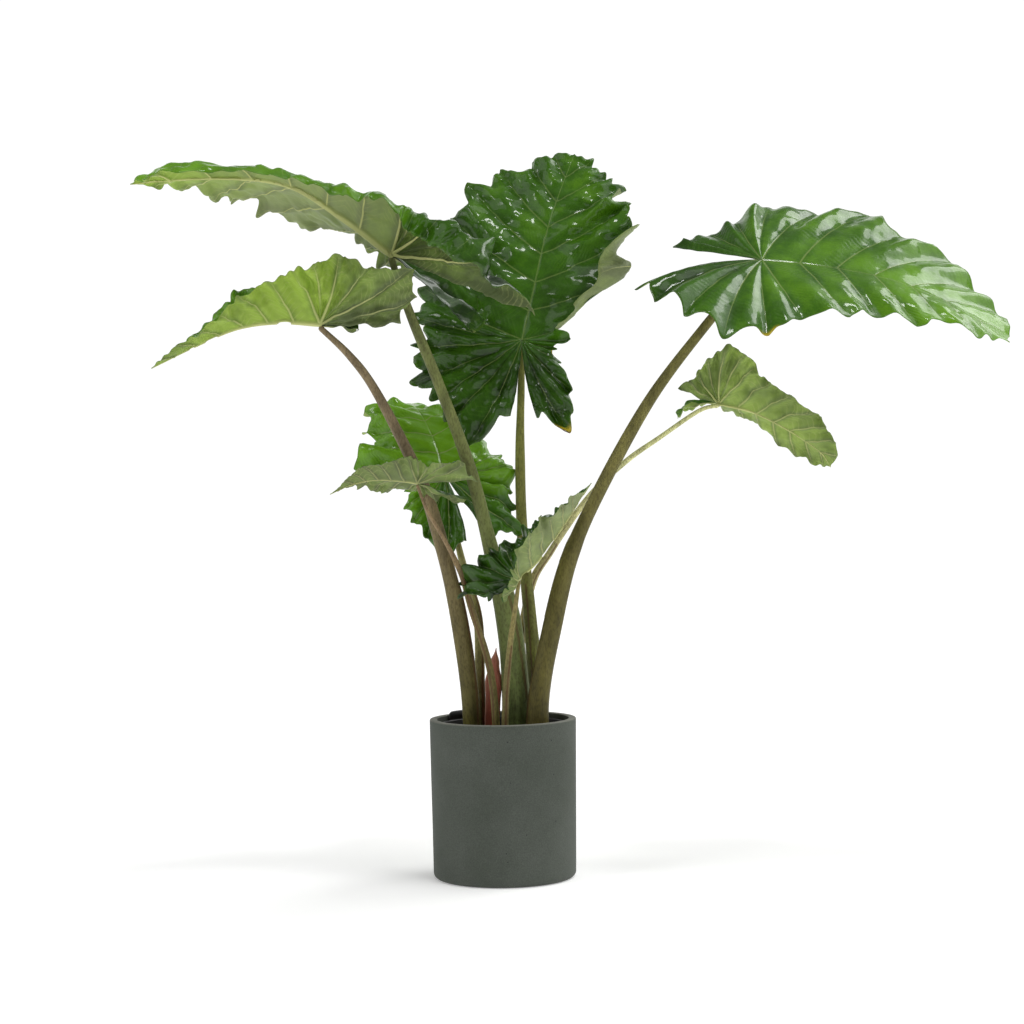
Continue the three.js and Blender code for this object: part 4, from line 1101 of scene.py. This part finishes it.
def blade_finish(name, tones, cloud, vein_shade_depth, vein_colour, vein_part, midrib_power, margin_highlight_colour,
                 bloom_part, net_tone, net_depth, gloss):
    """The skin's tone runs from old and dark to young and bright, and the same tone carries painted
    shade where other leaves shade the skin and painted light where light shines through it. It drifts by
    cloud,
    and beside a vein it is darkened: painted shade in the creases between the bulges. A grey bloom lies
    on it. Over it go the pale veins, the net of side veins, which are waves of the distance out along a
    vein less three quarters of that from it, and a thin line where two nets meet. The midrib is a bell
    curve across, raised to a power that narrows it. A thin paler line along the margin is a painted
    highlight where the edge catches light."""
    finish, tree, shader = new_finish(name, **gloss)
    place = object_place(tree)
    outward, spacing, dry = (attribute(tree, key) for key in ("outward", "vein_spacing", "dry"))
    part = count(tree, "PINGPONG", attribute(tree, "vein_place"), 0.5)
    clouds = noise(tree, place, scale=11, detail=5, roughness=0.6)
    drift = ranged(tree, clouds, start=0.32, end=0.68, low=-cloud, high=cloud, smooth=True)
    # Painted shade: the skin is darker beside each vein, in the creases between the bulges.
    painted_vein_shade = ranged(tree, part, start=0.03, end=0.25, low=vein_shade_depth, high=0.0, smooth=True)
    # The tone holds the leaf's age together with painted shade and painted light.
    tone = count(tree, "SUBTRACT", count(tree, "ADD", attribute(tree, "age"), drift), painted_vein_shade)
    skin = ramp(tree, tone, *zip((0.0, 0.5, 1.0), map(colour, tones)))
    bloom = count(tree, "MULTIPLY", attribute(tree, "bloom"), bloom_part)
    bloomed = blended(tree, bloom, skin, colour(BLOOM_GREY))

    # The net of side veins, which leaves out some patches and the narrow stretches between veins.
    warp = count(tree, "MULTIPLY", noise(tree, place, scale=34, detail=3), SIDE_VEIN_WARP)
    phase = count(tree, "MULTIPLY", attribute(tree, "lateral"), 2 * np.pi / SIDE_VEIN_SPACING)
    wave = count(tree, "SINE", count(tree, "ADD", phase, warp))
    patches = ranged(tree, noise(tree, place, scale=22), start=0.38, end=0.6, smooth=True)
    net = count(tree, "MULTIPLY", ranged(tree, wave, start=0.6, end=1.0, smooth=True), patches)
    from_meeting = count(tree, "MULTIPLY", count(tree, "SUBTRACT", 0.5, part), spacing)
    meeting = ranged(tree, from_meeting, start=0.0003, end=0.0012, low=0.15, high=0.0, smooth=True)
    wide_enough = ranged(tree, spacing, start=0.01, end=0.03, smooth=True)
    net_part = count(tree, "MULTIPLY", count(tree, "MAXIMUM", net, meeting),
                     count(tree, "MULTIPLY", wide_enough, net_tone))
    netted = blended(tree, net_part, bloomed, colour(vein_colour))

    # The veins and the midrib, then a painted highlight along the margin, and its dry spots, yellow
    # round brown.
    from_vein = count(tree, "MULTIPLY", part, spacing)
    vein_width = ranged(tree, outward, start=0.0, end=1.0, low=VEIN_AT_MIDRIB, high=VEIN_AT_MARGIN,
                        smooth=True)
    across_vein = count(tree, "DIVIDE", from_vein, vein_width)
    vein = ranged(tree, across_vein, start=0.25, end=1.0, low=1.0, high=0.0, smooth=True)
    vein_strength = count(tree, "MULTIPLY", attribute(tree, "vein_strength"), vein_part)
    midrib = count(tree, "POWER", attribute(tree, "midrib"), midrib_power)
    all_veins = count(tree, "MAXIMUM", count(tree, "MULTIPLY", vein, vein_strength),
                      count(tree, "MULTIPLY", midrib, vein_part))
    veined = blended(tree, all_veins, netted, colour(vein_colour))
    # Painted highlight: a thin paler line along the margin, where the edge catches light.
    margin = ranged(tree, outward, start=0.97, end=1.0, high=0.5, smooth=True)
    edged = blended(tree, margin, veined, colour(margin_highlight_colour))
    yellow_part = ranged(tree, dry, start=0.05, end=0.4, smooth=True)
    brown_part = ranged(tree, dry, start=0.35, end=0.8, smooth=True)
    yellowed = blended(tree, yellow_part, edged, colour(DRY_YELLOW))
    dried = blended(tree, brown_part, yellowed, colour(DRY_BROWN))

    rippled = ranged(tree, noise(tree, place, scale=13), start=0.45, end=0.65, smooth=True)
    ripple = count(tree, "MULTIPLY", count(tree, "MULTIPLY", wave, rippled), wide_enough)
    swollen = relief(tree, ripple, strength=0.5, depth=net_depth)
    dents = noise(tree, place, scale=60, detail=3)
    dented = relief(tree, dents, strength=0.55, depth=0.003, over=swollen)
    pores = noise(tree, place, scale=240, detail=3)
    cover(tree, shader, dried, relief(tree, pores, strength=0.1, depth=0.0005, over=dented))
    return finish


blade_top = blade_finish(
    "blade_top", tones=("142c02", "3b680a", "6fa41b"), cloud=0.14, vein_shade_depth=0.12,
    vein_colour="8ba058", vein_part=0.45, midrib_power=4, margin_highlight_colour="5a7a30",
    bloom_part=0.0, net_tone=0.05, net_depth=0.0005,
    gloss=dict(roughness=0.42, specular_ior_level=0.12, coat_weight=0.5, coat_roughness=0.1))
blade_underside = blade_finish(
    "blade_underside", tones=("3c4f18", "6f8a30", "97b63e"), cloud=0.24, vein_shade_depth=0.36,
    vein_colour="c6c984", vein_part=0.9, midrib_power=1, margin_highlight_colour="8a9a58",
    bloom_part=0.65, net_tone=0.18, net_depth=-0.0004,
    gloss=dict(roughness=0.55, specular_ior_level=0.25))
for name, blade in BLADES.items():
    points, faces, finish_of_face, uv, shares = blade_surface(blade)
    piece = make_piece(f"leaf_{name}", points, faces, [blade_top, blade_underside],
                       finish_of_face=finish_of_face, uv=uv, shares=shares)
    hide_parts(f"blade_{name}")
